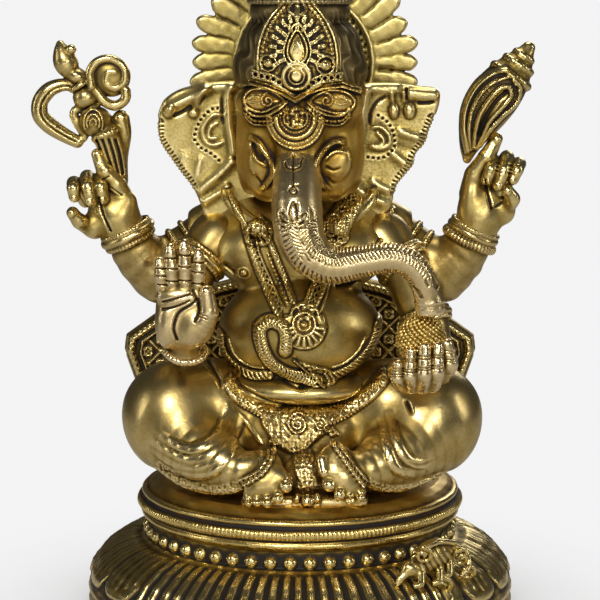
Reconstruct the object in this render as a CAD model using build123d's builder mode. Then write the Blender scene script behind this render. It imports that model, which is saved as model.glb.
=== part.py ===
"""Seated elephant-headed deity in cast brass, on a drum seat over a lotus-petal base.

The statue is an assembly of castings.  Arms, hands, ears, trunk and crown are cast apart and seated
by round pegs in drilled sockets, then brazed.  One long bolt clamps the figure through the seat and
the base.  The rayed halo and the cushion behind the back are held by screws.

Frame: millimetres, +Z up, origin on the floor under the middle of the base.  The figure faces -Y,
so its own right side is -X.
"""

import os
from math import cos, pi, sin

from build123d import *

# ---- driving dimensions -------------------------------------------------------------------------
BASE_R = 108.0  # widest radius of the lotus base
BASE_H = 46.0  # floor to the joint between base and seat
SEAT_R = 82.0  # widest radius of the drum seat
SEAT_Z = BASE_H + 20.0  # level the figure sits at
SEAT_FLAT_R = 70.0
NECK_R = 76.0  # the waist between base and seat
WALL = 4.0  # wall of the hollow castings
DECK = 6.0  # thickness of the base's top
REGISTER_R = 22.0  # the seat's boss drops into a hole this size in the base
PEG_R, PEG_L = 4.0, 9.0  # the pegs of arms and hands
EAR_PEG_R, EAR_PEG_L = 2.0, 12.0
TRUNK_PEG_R, TRUNK_PEG_L = 5.0, 13.0
CROWN_PEG_R, CROWN_PEG_L = 8.0, 6.0
GAP = 0.1  # radial room round a peg, a bolt or a screw

TORSO_Z = 104.0  # the torso's flat foot, down in its pocket in the leg casting
CROWN_Z = 262.0  # joint between head and crown
CROWN_Y = -12.0
CROWN_TOP = 336.0
HALO_X, HALO_Z = 2.0, 272.0  # middle of the halo
RAY_R, VALLEY_R, RAYS = 58.0, 52.0, 32
HALO_Y = 24.0  # front face of the halo plate
HALO_T = 5.0
TANG_W, TANG_LOW, TANG_HIGH = 24.0, 168.0, 232.0  # the strip that carries the halo
CUSHION_Y = HALO_Y + HALO_T
CUSHION_T = 12.0
CUSHION_EDGE_R = 4.0
FRONT_SHOULDER, FRONT_PAD_R = (44, -11, 181), 10.5  # flat pads, given on the figure's left
REAR_SHOULDER, REAR_PAD_R = (46, 14, 190), 12.0
REAR_WRIST, REAR_WRIST_R = (86, 0, 187), 10.5
WRIST_LEAN = 0.45  # how far the raised forearm leans out for each unit it rises
RIGHT_WRIST = (-55, -41, 147)
LEFT_WRIST = (62, -34, 132)
WRIST_R = 8.5
SWEET, SWEET_R = (58, -50, 144), 12.0
TRUNK_ROOT = (0, -46, 233)
EAR_ROOT = (34, -7, 240)
BOLT_R, BOLT_TOP = 4.0, 122.0
WASHER_R, WASHER_T = 30.0, 2.0
SCREW_R = 2.0
HALO_SCREW_Z = (176.0, 188.0)
CUSHION_SCREW_X, CUSHION_SCREW_Z = 20.0, 98.0

os.makedirs("parts", exist_ok=True)


# ---- helpers ------------------------------------------------------------------------------------
def egg(centre, half_length, radius, tilt=(0, 0, 0)):
    """A spheroid round its own X axis with a tiny flat at each end, tilted, then moved."""
    with BuildPart(mode=Mode.PRIVATE) as made:
        with BuildSketch(Plane.XY):
            with BuildLine():
                arc = EllipticalCenterArc((0, 0), half_length, radius, start_angle=4, arc_size=172)
                Polyline(arc @ 1, ((arc @ 1).X, 0), ((arc @ 0).X, 0), arc @ 0)
            make_face()
        revolve(axis=Axis.X)
    return Location(centre, tilt) * made.part


UPRIGHT = (0, 90, 0)  # the tilt that stands an egg on end


def limb(*stations, start=None, end=None):
    """A solid lofted through round sections; a station is (x, y, z, radius).

    The first and last faces are square to start and end, or else to the run of the limb."""
    points = [Vector(*s[:3]) for s in stations]
    last = len(points) - 1
    runs = [points[min(i + 1, last)] - points[max(i - 1, 0)] for i in range(last + 1)]
    if start:
        runs[0] = Vector(*start)
    if end:
        runs[last] = Vector(*end)
    reference = Vector(0.31, 0.75, 0.45)  # never along a run, so no section flips over
    with BuildPart(mode=Mode.PRIVATE) as made:
        for point, run, station in zip(points, runs, stations):
            across = reference.cross(run).normalized()
            with BuildSketch(Plane(origin=point, x_dir=across, z_dir=run.normalized())):
                Circle(station[3])
        loft()
    return made.part


def bar(start, direction, radius=PEG_R, length=PEG_L):
    """A round bar from start along direction: a peg, or with GAP added the socket for one."""
    with BuildPart(mode=Mode.PRIVATE) as made:
        with BuildSketch(Plane(origin=start, z_dir=direction)):
            Circle(radius)
        extrude(amount=length)
    return made.part


def turned(*points):
    """A solid of revolution about Z through (radius, height) points."""
    with BuildPart(mode=Mode.PRIVATE) as made:
        with BuildSketch(Plane.XZ):
            with BuildLine():
                Polyline(*points, close=True)
            make_face()
        revolve(axis=Axis.Z)
    return made.part


def on_side(side, point):
    """A point given on the figure's left (side 1), taken to side."""
    return (side * point[0], *point[1:])


def facing(y):
    """The upright plane at depth y, seen from the front: its own axes are X and Z."""
    return Plane(origin=(0, y, 0), x_dir=(1, 0, 0), z_dir=(0, -1, 0))


def save(part, label):
    """Names a finished piece and writes it."""
    part.label = label
    export_step(part, f"parts/{label}.step")


# ---- base and seat ------------------------------------------------------------------------------
with BuildPart() as base_block:  # the base's outside, before coring
    with BuildSketch(Plane.XZ):
        with BuildLine():
            Line((0, BASE_H), (NECK_R, BASE_H))
            Spline((NECK_R, BASE_H), (84, 40), (98, 33), (BASE_R, 18))
            Polyline((BASE_R, 18), (BASE_R - 1, 6), (BASE_R - 4, 0), (0, 0), (0, BASE_H))
        make_face()
    revolve(axis=Axis.Z)

with BuildPart() as lotus_base:
    add(base_block.part)
    add(turned((0, -1), (BASE_R - 10, -1), (BASE_R - 8, 15), (92, 30), (72, BASE_H - DECK),
               (0, BASE_H - DECK)), mode=Mode.SUBTRACT)
    add(bar((0, 0, 30), (0, 0, 1), REGISTER_R, 30), mode=Mode.SUBTRACT)

with BuildPart() as seat:
    add(turned((BOLT_R + GAP, BASE_H - DECK), (REGISTER_R - GAP, BASE_H - DECK),
               (REGISTER_R - GAP, BASE_H), (NECK_R, BASE_H), (NECK_R + 2, 49),
               (SEAT_R - 1, 51), (SEAT_R, 54), (SEAT_R - 1, 57), (SEAT_R - 3, 59),
               (NECK_R, 63), (SEAT_FLAT_R, SEAT_Z), (BOLT_R + GAP, SEAT_Z)))
    # cored from below, leaving a boss round the bolt
    add(turned((REGISTER_R - WALL, BASE_H + 1), (SEAT_FLAT_R, BASE_H + 1), (74, 54),
               (68, SEAT_Z - WALL), (REGISTER_R - WALL, SEAT_Z - WALL)), mode=Mode.SUBTRACT)

with BuildPart() as mouse:
    add(egg((63, -65, 41), 13, 7, (0, 0, 42)))  # body
    add(egg((53, -73, 38), 8, 5, (0, 20, 42)))  # head and snout
    add(base_block.part, mode=Mode.SUBTRACT)

# ---- torso --------------------------------------------------------------------------------------
pads = [(on_side(side, point), (side, 0, 0), radius) for side in (-1, 1)
        for point, radius in ((FRONT_SHOULDER, FRONT_PAD_R), (REAR_SHOULDER, REAR_PAD_R))]
bolt_room = bar((0, 0, 30), (0, 0, 1), BOLT_R + GAP, BOLT_TOP - 30 + GAP)
bolt_post = bar((0, 0, TORSO_Z), (0, 0, 1), 9, 70)

with BuildPart() as body_block:  # the torso's outside, before coring and drilling
    add(egg((0, -13, 142), 41, 36))  # belly
    add(egg((0, -3, 182), 42, 26))  # chest
    add(egg((0, -14, 116), 42, 21))  # the fold under the belly
    add(bar((0, 4, 196), (0, -0.25, 1), 13, 20))  # neck
    add(bar((0, 0, 182), (0, 1, 0), 11, HALO_Y))  # flat pad for the halo's tang
    split(bisect_by=Plane.XY.offset(TORSO_Z), keep=Keep.TOP)
    for (x, y, z), outwards, radius in pads:
        add(bar((x - 26 * outwards[0], y, z), outwards, radius, 26))
    add(bolt_post)

with BuildPart() as torso:
    add(body_block.part)
    add(egg((0, -13, 140), 34, 28), mode=Mode.SUBTRACT)
    add(bar((0, -13, TORSO_Z), (0, 0, 1), 14, 20), mode=Mode.SUBTRACT)
    add(bolt_post)
    add(bolt_room, mode=Mode.SUBTRACT)
    for point, (side, *_), _ in pads:
        add(bar(point, (-side, 0, 0), PEG_R + GAP, PEG_L + GAP), mode=Mode.SUBTRACT)
    for z in HALO_SCREW_Z:
        add(bar((0, HALO_Y, z), (0, -1, 0), SCREW_R + GAP, 11), mode=Mode.SUBTRACT)

# ---- legs: hips, folded legs and feet in one casting ----------------------------------------------
with BuildPart() as legs:
    add(egg((0, -4, 96), 50, 31))  # hips
    for side in (-1, 1):
        add(egg((side * 57, -18, 101), 36, 26, (0, side * 12, -side * 12)))  # thigh and knee
        add(egg((side * 44, -44, 83), 32, 16, (0, 0, side * 22)))  # shin
        add(egg((side * 17, -60, 77), 15, 10, (0, 35, 90)))  # foot
        add(bar((side * CUSHION_SCREW_X, 8, CUSHION_SCREW_Z), (0, 1, 0), 7, CUSHION_Y - 8))
    split(bisect_by=Plane.XY.offset(SEAT_Z), keep=Keep.TOP)
    add(body_block.part, mode=Mode.SUBTRACT)
    add(bolt_room, mode=Mode.SUBTRACT)
    # cored from below, beside the bolt
    for side in (-1, 1):
        add(egg((side * 52, -16, 98), 26, 19, (0, side * 12, -side * 12)), mode=Mode.SUBTRACT)
        add(bar((side * 48, -14, SEAT_Z), (0, 0, 1), 13, 26), mode=Mode.SUBTRACT)
        add(bar((side * CUSHION_SCREW_X, CUSHION_Y, CUSHION_SCREW_Z), (0, -1, 0),
                SCREW_R + GAP, 13), mode=Mode.SUBTRACT)

# ---- head, crown and trunk ------------------------------------------------------------------------
skull = egg((0, -13, 247), 37, 31, UPRIGHT)
with BuildPart() as head:
    add(skull)
    add(egg((0, -17, 226), 27, 20))  # cheeks
    split(bisect_by=Plane.XY.offset(CROWN_Z), keep=Keep.BOTTOM)
    add(body_block.part, mode=Mode.SUBTRACT)
    add(bar(TRUNK_ROOT, (0, 1, 0), TRUNK_PEG_R + GAP, TRUNK_PEG_L + GAP), mode=Mode.SUBTRACT)
    add(bar((0, CROWN_Y, CROWN_Z), (0, 0, -1), CROWN_PEG_R + GAP, CROWN_PEG_L + GAP),
        mode=Mode.SUBTRACT)
    for side in (-1, 1):
        add(bar(on_side(side, EAR_ROOT), (-side, 0, 0), EAR_PEG_R + GAP, EAR_PEG_L + GAP),
            mode=Mode.SUBTRACT)

with BuildPart() as crown:
    with BuildSketch(Plane.XZ.offset(-CROWN_Y)):
        with BuildLine():
            Polyline((0, CROWN_Z), (31, CROWN_Z), (32, 266), (31, 272), (30, 284), (26, 296),
                     (21, 302), (22, 306), (15, 313), (16, 317), (9, 323), (10, 327), (4, 331),
                     (0, CROWN_TOP), close=True)
        make_face()
    revolve(axis=Axis((0, CROWN_Y, 0), (0, 0, 1)))
    add(bar((0, CROWN_Y, CROWN_Z), (0, 0, -1), CROWN_PEG_R, CROWN_PEG_L))

with BuildPart() as crown_plate:
    with BuildSketch(facing(CROWN_Y - 18)):
        with BuildLine():
            Spline((0, 309), (13, 297), (19, 282), (20, 266))
            Line((20, 266), (-20, 266))
            Spline((-20, 266), (-19, 282), (-13, 297), (0, 309))
        make_face()
    extrude(amount=20)
    add(egg((0, CROWN_Y, 275), 42, 36, UPRIGHT), mode=Mode.INTERSECT)  # domed like the crown
    add(crown.part, mode=Mode.SUBTRACT)

with BuildPart() as trunk:
    add(limb((0, -41, 244, 9), (-0.5, -46, 233, 10), (-1, -54, 219, 12), (-1.5, -60, 207, 12.2),
             (-1, -63, 196, 11.2), (3, -64, 186, 10), (13, -64, 181, 9), (28, -63, 183.5, 8),
             (43, -62, 185, 7.5), (54, -61, 181, 7), (60, -60, 172, 6.6), (61, -58, 160, 6.4)))
    add(skull, mode=Mode.SUBTRACT)
    add(head.part, mode=Mode.SUBTRACT)
    add(bar(TRUNK_ROOT, (0, 1, 0), TRUNK_PEG_R, TRUNK_PEG_L))

EAR = ((29, 261), (46, 263.5), (64, 257), (69.5, 250), (69, 238), (62, 220), (50, 203), (43, 197),
       (36, 202), (28, 214), (25, 230))


def ear(side):
    """A thin cast ear whose root butts on the side of the head, with one peg into it."""
    x, y, z = EAR_ROOT
    with BuildPart(mode=Mode.PRIVATE) as made:
        with BuildSketch(facing(y)):
            with BuildLine():
                Spline(*[(side * x, z) for x, z in EAR], periodic=True)
            make_face()
        extrude(amount=2.5, both=True)
        for neighbour in (skull, head.part, body_block.part, crown.part):
            add(neighbour, mode=Mode.SUBTRACT)
        add(bar((side * x, y, z), (-side, 0, 0), EAR_PEG_R, EAR_PEG_L))
    return made.part


left_ear, right_ear = ear(1), ear(-1)

# ---- halo and cushion ---------------------------------------------------------------------------
rim = [(HALO_X + (RAY_R, VALLEY_R)[i % 2] * cos(pi * i / RAYS),
        HALO_Z + (RAY_R, VALLEY_R)[i % 2] * sin(pi * i / RAYS)) for i in range(2 * RAYS)]
with BuildPart() as halo:
    with BuildSketch(facing(HALO_Y)):
        with BuildLine():
            Polyline(*rim, close=True)
        make_face()
        with Locations((0, (TANG_LOW + TANG_HIGH) / 2)):
            Rectangle(TANG_W, TANG_HIGH - TANG_LOW)
    extrude(amount=-HALO_T)
    with BuildSketch(facing(HALO_Y)):
        with Locations((HALO_X, HALO_Z)):
            with PolarLocations(42, RAYS, start_angle=180 / RAYS):
                SlotOverall(18, 2)  # the groove between two rays
    extrude(amount=-1.5, mode=Mode.SUBTRACT)
    for z in HALO_SCREW_Z:
        add(bar((0, HALO_Y - 1, z), (0, 1, 0), SCREW_R + GAP, HALO_T + 2), mode=Mode.SUBTRACT)

CUSHION = ((50, SEAT_Z), (85.5, 108), (91.5, 131), (74, 143), (45, 158), (0, 166))
with BuildPart() as cushion:
    with BuildSketch(facing(CUSHION_Y)):
        with BuildLine():
            Polyline(*CUSHION, *[(-x, z) for x, z in reversed(CUSHION[:-1])], close=True)
        make_face()
    extrude(amount=-CUSHION_T)
    fillet(cushion.edges().filter_by(Plane.XZ), radius=CUSHION_EDGE_R)
    for side in (-1, 1):
        add(bar((side * CUSHION_SCREW_X, CUSHION_Y - 1, CUSHION_SCREW_Z), (0, 1, 0),
                SCREW_R + GAP, CUSHION_T + 2), mode=Mode.SUBTRACT)


# ---- rear arms, hands and what they hold ----------------------------------------------------------
def rear_arm(side):
    """Upper arm and raised forearm, with a peg at the shoulder and a socket at the wrist."""
    shoulder, wrist = on_side(side, REAR_SHOULDER), on_side(side, REAR_WRIST)
    up = (side * WRIST_LEAN, 0, 1)
    with BuildPart(mode=Mode.PRIVATE) as made:
        add(limb((*shoulder, REAR_PAD_R), (side * 54, 14, 185, 14), (side * 63, 12, 173, 15.5),
                 (side * 72, 7, 168, 14.5), (side * 80, 2, 177, 12), (*wrist, REAR_WRIST_R),
                 start=(side, 0, 0), end=up))
        add(bar(shoulder, (-side, 0, 0)))
        add(bar(wrist, (-up[0], 0, -1), PEG_R + GAP, PEG_L + GAP), mode=Mode.SUBTRACT)
    return made.part


def rear_hand(side):
    """A closed hand on the raised wrist, its index finger pointing up, with a peg below."""
    wrist, up = on_side(side, REAR_WRIST), (side * WRIST_LEAN, 0, 1)
    x, y, z = wrist
    with BuildPart(mode=Mode.PRIVATE) as made:
        add(egg((x + side * 8, y - 2, z + 12), 20, 11, (0, 90 + side * 24, 0)))  # palm
        add(egg((x + side * 7, y - 4, z + 32), 13, 4.5, UPRIGHT))  # index finger
        for i in range(3):
            add(egg((x + side * (13 + 5.2 * i), y - 7, z + 20 - 1.5 * i), 6.5, 4, (0, 60, 90)))
        add(egg((x + side * 16, y - 8, z + 9), 8, 4.2, (0, side * 20, 0)))  # thumb
        split(bisect_by=Plane(origin=wrist, z_dir=up), keep=Keep.TOP)
        add(bar(wrist, (-up[0], 0, -1)))
    return made.part


right_rear_arm, left_rear_arm = rear_arm(-1), rear_arm(1)
right_rear_hand, left_rear_hand = rear_hand(-1), rear_hand(1)

with BuildPart() as goad:
    shaft = turned((0, 0), (4, 0), (6, 10), (8.5, 20), (9, 26), (6, 31), (7.5, 36), (7.5, 42),
                   (4.5, 46), (6.5, 52), (6, 58), (2, 70), (0, 73))
    add(Location((-88, -5, 216), (0, -22, 0)) * shaft)  # leaning outwards from the hand
    with Locations(Location((-117, -5, 247), (90, 0, 0))):
        Torus(10, 3.6)  # the hook, closed back on the shaft
    with Locations(Location((-93, -5, 264), (90, 0, 0))):
        Cylinder(8, 8)  # the scroll
    add(right_rear_hand, mode=Mode.SUBTRACT)

with BuildPart() as conch:
    add(limb((83, -5, 222, 2), (82, -5, 232, 6.5), (84, -5, 243, 10.5), (90, -5, 254, 14),
             (98, -5, 264, 14), (105, -5, 272, 10), (110, -5, 279, 5.5), (114, -5, 284, 1.8)))
    add(left_rear_hand, mode=Mode.SUBTRACT)

# ---- front arms, hands and the sweet --------------------------------------------------------------
with BuildPart() as sweet:
    with Locations(SWEET):
        Sphere(SWEET_R)

with BuildPart() as right_front_hand:  # raised flat, palm forwards
    add(egg((-55, -50, 152), 17, 7.5, UPRIGHT))
    for x in (-62, -48):
        add(egg((x, -50, 152), 16, 7, UPRIGHT))  # the two sides of the palm
    add(egg((-45, -53, 153), 12, 5.2, (0, 78, 0)))  # thumb
    for i in range(4):
        add(egg((-66 + 7.2 * i, -51, 173.5 - abs(i - 1.5)), 18, 4, UPRIGHT))
    add(bar(RIGHT_WRIST, (0, -1, 0), WRIST_R, 8))
    add(bar(RIGHT_WRIST, (0, 1, 0)))

with BuildPart() as left_front_hand:  # cupped round the sweet, palm up
    add(egg((60, -48, 130), 15, 10))
    for i in range(4):
        add(egg((49 + 7.4 * i, -60, 134), 11, 4.2, UPRIGHT))
    add(bar(LEFT_WRIST, (0, -1, 0), WRIST_R, 10))
    with Locations(SWEET):
        Sphere(SWEET_R, mode=Mode.SUBTRACT)
    add(bar(LEFT_WRIST, (0, 1, 0)))


def front_arm(side, forearm, wrist):
    """Upper arm and forearm, with a peg at the shoulder and a socket at the wrist."""
    shoulder = on_side(side, FRONT_SHOULDER)
    with BuildPart(mode=Mode.PRIVATE) as made:
        add(limb((*shoulder, FRONT_PAD_R), (side * 51, -15, 174, 10.5), (side * 56, -19, 162, 11),
                 *forearm, (*wrist, WRIST_R), start=(side, 0, 0), end=(0, -1, 0)))
        add(body_block.part, mode=Mode.SUBTRACT)
        add(bar(shoulder, (-side, 0, 0)))
        add(bar(wrist, (0, 1, 0), PEG_R + GAP, PEG_L + GAP), mode=Mode.SUBTRACT)
    return made.part


right_front_arm = front_arm(-1, ((-59, -24, 151, 10), (-58, -33, 146, 9)), RIGHT_WRIST)
left_front_arm = front_arm(1, ((62, -21, 148, 10.5), (64, -27, 136, 9.5)), LEFT_WRIST)

# ---- fasteners --------------------------------------------------------------------------------------
washer_z = BASE_H - DECK - WASHER_T
with BuildPart() as clamp_washer:
    with BuildSketch(Plane.XY.offset(washer_z)):
        Circle(WASHER_R)
        Circle(BOLT_R + GAP, mode=Mode.SUBTRACT)
    extrude(amount=WASHER_T)

with BuildPart() as clamp_bolt:
    with BuildSketch(Plane.XY.offset(washer_z)):
        RegularPolygon(2 * BOLT_R, 6)
    extrude(amount=-5.5)
    with BuildSketch(Plane.XY.offset(washer_z)):
        Circle(BOLT_R)
    extrude(amount=BOLT_TOP - washer_z)


def screws(places, length):
    """Pan-head screws driven forwards (-Y), each from the point under its head."""
    with BuildPart(mode=Mode.PRIVATE) as made:
        for place in places:
            add(bar(place, (0, 1, 0), 2 * SCREW_R, 2))
            add(bar(place, (0, -1, 0), SCREW_R, length))
    return made.part


halo_screws = screws([(0, CUSHION_Y, z) for z in HALO_SCREW_Z], HALO_T + 10)
cushion_screws = screws([(side * CUSHION_SCREW_X, CUSHION_Y + CUSHION_T, CUSHION_SCREW_Z)
                         for side in (-1, 1)], CUSHION_T + 12)

# ---- every piece, by name -----------------------------------------------------------------------
for label, part in {
    "lotus_base": lotus_base.part,
    "seat": seat.part,
    "mouse": mouse.part,
    "torso": torso.part,
    "legs": legs.part,
    "head": head.part,
    "crown": crown.part,
    "crown_plate": crown_plate.part,
    "trunk": trunk.part,
    "left_ear": left_ear,
    "right_ear": right_ear,
    "halo": halo.part,
    "cushion": cushion.part,
    "right_rear_arm": right_rear_arm,
    "left_rear_arm": left_rear_arm,
    "right_rear_hand": right_rear_hand,
    "left_rear_hand": left_rear_hand,
    "goad": goad.part,
    "conch": conch.part,
    "sweet": sweet.part,
    "right_front_arm": right_front_arm,
    "left_front_arm": left_front_arm,
    "right_front_hand": right_front_hand.part,
    "left_front_hand": left_front_hand.part,
    "clamp_bolt": clamp_bolt.part,
    "clamp_washer": clamp_washer.part,
    "halo_screws": halo_screws,
    "cushion_screws": cushion_screws,
}.items():
    save(part, label)
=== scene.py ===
"""Looks of the seated elephant-headed deity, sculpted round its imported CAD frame.

Each casting is modelled as clay: a signed distance field in millimetres on a regular grid, built up
from balls, ropes and rings that melt into each other.  Fine ornament is drawn as a relief map on the
front (-Y) of the clay, then pressed into it.  The clay is cast to a mesh in metres, and each vertex
keeps how proud (+) or sunken (-) it is, which drives the polish and the patina.

The figure faces -Y.  Points on the front are given as (x, z).
"""

from math import cos, pi, radians, sin, sqrt, tau

import bpy
import numpy as np
import openvdb
from mathutils import Euler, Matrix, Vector


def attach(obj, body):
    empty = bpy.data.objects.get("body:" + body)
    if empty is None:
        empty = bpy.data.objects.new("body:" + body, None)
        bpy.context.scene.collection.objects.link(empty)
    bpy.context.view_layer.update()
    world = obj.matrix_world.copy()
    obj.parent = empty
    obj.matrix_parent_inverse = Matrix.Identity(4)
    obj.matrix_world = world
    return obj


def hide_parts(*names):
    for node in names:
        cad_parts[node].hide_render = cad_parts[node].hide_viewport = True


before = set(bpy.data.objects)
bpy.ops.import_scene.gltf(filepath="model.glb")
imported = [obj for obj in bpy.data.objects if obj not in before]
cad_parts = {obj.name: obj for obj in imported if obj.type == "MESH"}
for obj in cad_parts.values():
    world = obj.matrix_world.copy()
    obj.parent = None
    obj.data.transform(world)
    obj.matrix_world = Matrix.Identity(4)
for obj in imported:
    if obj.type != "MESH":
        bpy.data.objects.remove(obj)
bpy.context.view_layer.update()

COARSE = 1.0  # grids are coarser while trying things
MM = 0.001  # one millimetre in metres
FAR = 12.0  # the field's value well away from any clay, in millimetres
BAND = 3.0  # how far each side of the surface the field is kept when the clay is cast
OFF_PATH = 99.0  # a distance larger than any in a relief map
TINY = 0.01  # half the length of the dash that draws a dot
FINE, BROAD = 1.3, 4.5  # the widths over which a point's neighbours are averaged
FINE_RISE, BROAD_RISE = 0.2, 1.3  # the rise over those neighbours that counts as fully proud
FINE_SHARE, BROAD_SHARE = 0.48, 0.42  # how much each of the two counts


# ---- curves -------------------------------------------------------------------------------------
def smooth(points, spacing=1.0, closed=False):
    """Evenly spaced points on a Catmull-Rom curve through points (any number of columns)."""
    p = np.array(points, float)
    if closed:
        p = np.vstack([p[-1], p, p[:2]])
    else:
        p = np.vstack([2 * p[0] - p[1], p, 2 * p[-1] - p[-2]])
    t = np.linspace(0, 1, 12, endpoint=False)[:, None]
    runs = []
    for a, b, c, d in zip(p, p[1:], p[2:], p[3:]):
        runs.append(0.5 * (2 * b + (c - a) * t + (2 * a - 5 * b + 4 * c - d) * t ** 2
                           + (3 * b - a - 3 * c + d) * t ** 3))
    dense = np.vstack(runs + [p[-2]])
    steps = np.linalg.norm(np.diff(dense[:, :3], axis=0), axis=1)
    along = np.concatenate([[0], np.cumsum(steps)])
    count = max(2, int(round(along[-1] / spacing)) + 1)
    at = np.linspace(0, along[-1], count)
    return np.column_stack([np.interp(at, along, dense[:, i]) for i in range(dense.shape[1])])


def arc(x, z, rx, rz, start, end, count=24):
    """(x, z) points on an ellipse, angles in degrees from +x, anticlockwise seen from the front."""
    a = np.radians(np.linspace(start, end, count))
    return np.column_stack([x + rx * np.cos(a), z + rz * np.sin(a)])


def spoke(x, z, angle, radii):
    """(x, z) points at several radii along one spoke from a centre."""
    r = np.array(radii, float)
    return np.column_stack([x + r * cos(angle), z + r * sin(angle)])


def spiral(x, z, radius, turns, start=0.0, hand=1):
    """(x, z) points winding in from radius to the middle."""
    t = np.linspace(0, 1, int(20 * turns))
    a = radians(start) + hand * t * turns * tau
    r = radius * (1 - 0.85 * t)
    return np.column_stack([x + r * np.cos(a), z + r * np.sin(a)])


def dot(x, z):
    """A path too short to see, which draws a round dot."""
    return [(x - TINY, z), (x + TINY, z)]


def loop(points):
    """The same points with the first one again at the end."""
    return np.vstack([points, points[:1]])


def at_depth(path, y):
    """An (x, z) path as (x, y, z) points, all at one depth y."""
    return np.column_stack([path[:, 0], np.full(len(path), float(y)), path[:, 1]])


def melt(a, b, blend):
    """The union of two distance fields, rounded over a width of blend."""
    if not blend:
        return np.minimum(a, b)
    near = np.maximum(blend - np.abs(a - b), 0) / blend
    return np.minimum(a, b) - near * near * (blend / 4)


def box_blur(field, size):
    """The mean over a cube of size cells, taken twice."""
    half = max(1, int(round(size / 2)))
    for axis in (0, 1, 2, 0, 1, 2):
        padded = np.concatenate([np.repeat(field.take([0], axis), half + 1, axis), field,
                                 np.repeat(field.take([-1], axis), half, axis)], axis)
        total = np.cumsum(padded, axis, dtype=np.float64)
        width = 2 * half + 1
        low = [slice(None)] * 3
        high = [slice(None)] * 3
        low[axis] = slice(0, -width)
        high[axis] = slice(width, None)
        field = ((total[tuple(high)] - total[tuple(low)]) / width).astype(np.float32)
    return field


def lattice_noise(x, z, size, seed):
    """Distance, in cells, from each (x, z) to the nearest of the jittered points of a lattice."""
    def scatter(p, q):
        """A number from 0 to 0.6 that jumps about with the cell (a, b)."""
        h = np.sin(a * p + b * q + seed) * 43758.5453
        return 0.6 * (h - np.floor(h))

    u, v = x / size, z / size
    best = np.full(np.broadcast(u, v).shape, 9.0)
    for du in (-1, 0, 1):
        for dv in (-1, 0, 1):
            a, b = np.floor(u) + du, np.floor(v) + dv
            px, pz = a + 0.2 + scatter(127.1, 311.7), b + 0.2 + scatter(269.5, 183.3)
            best = np.minimum(best, np.hypot(u - px, v - pz))
    return best


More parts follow.
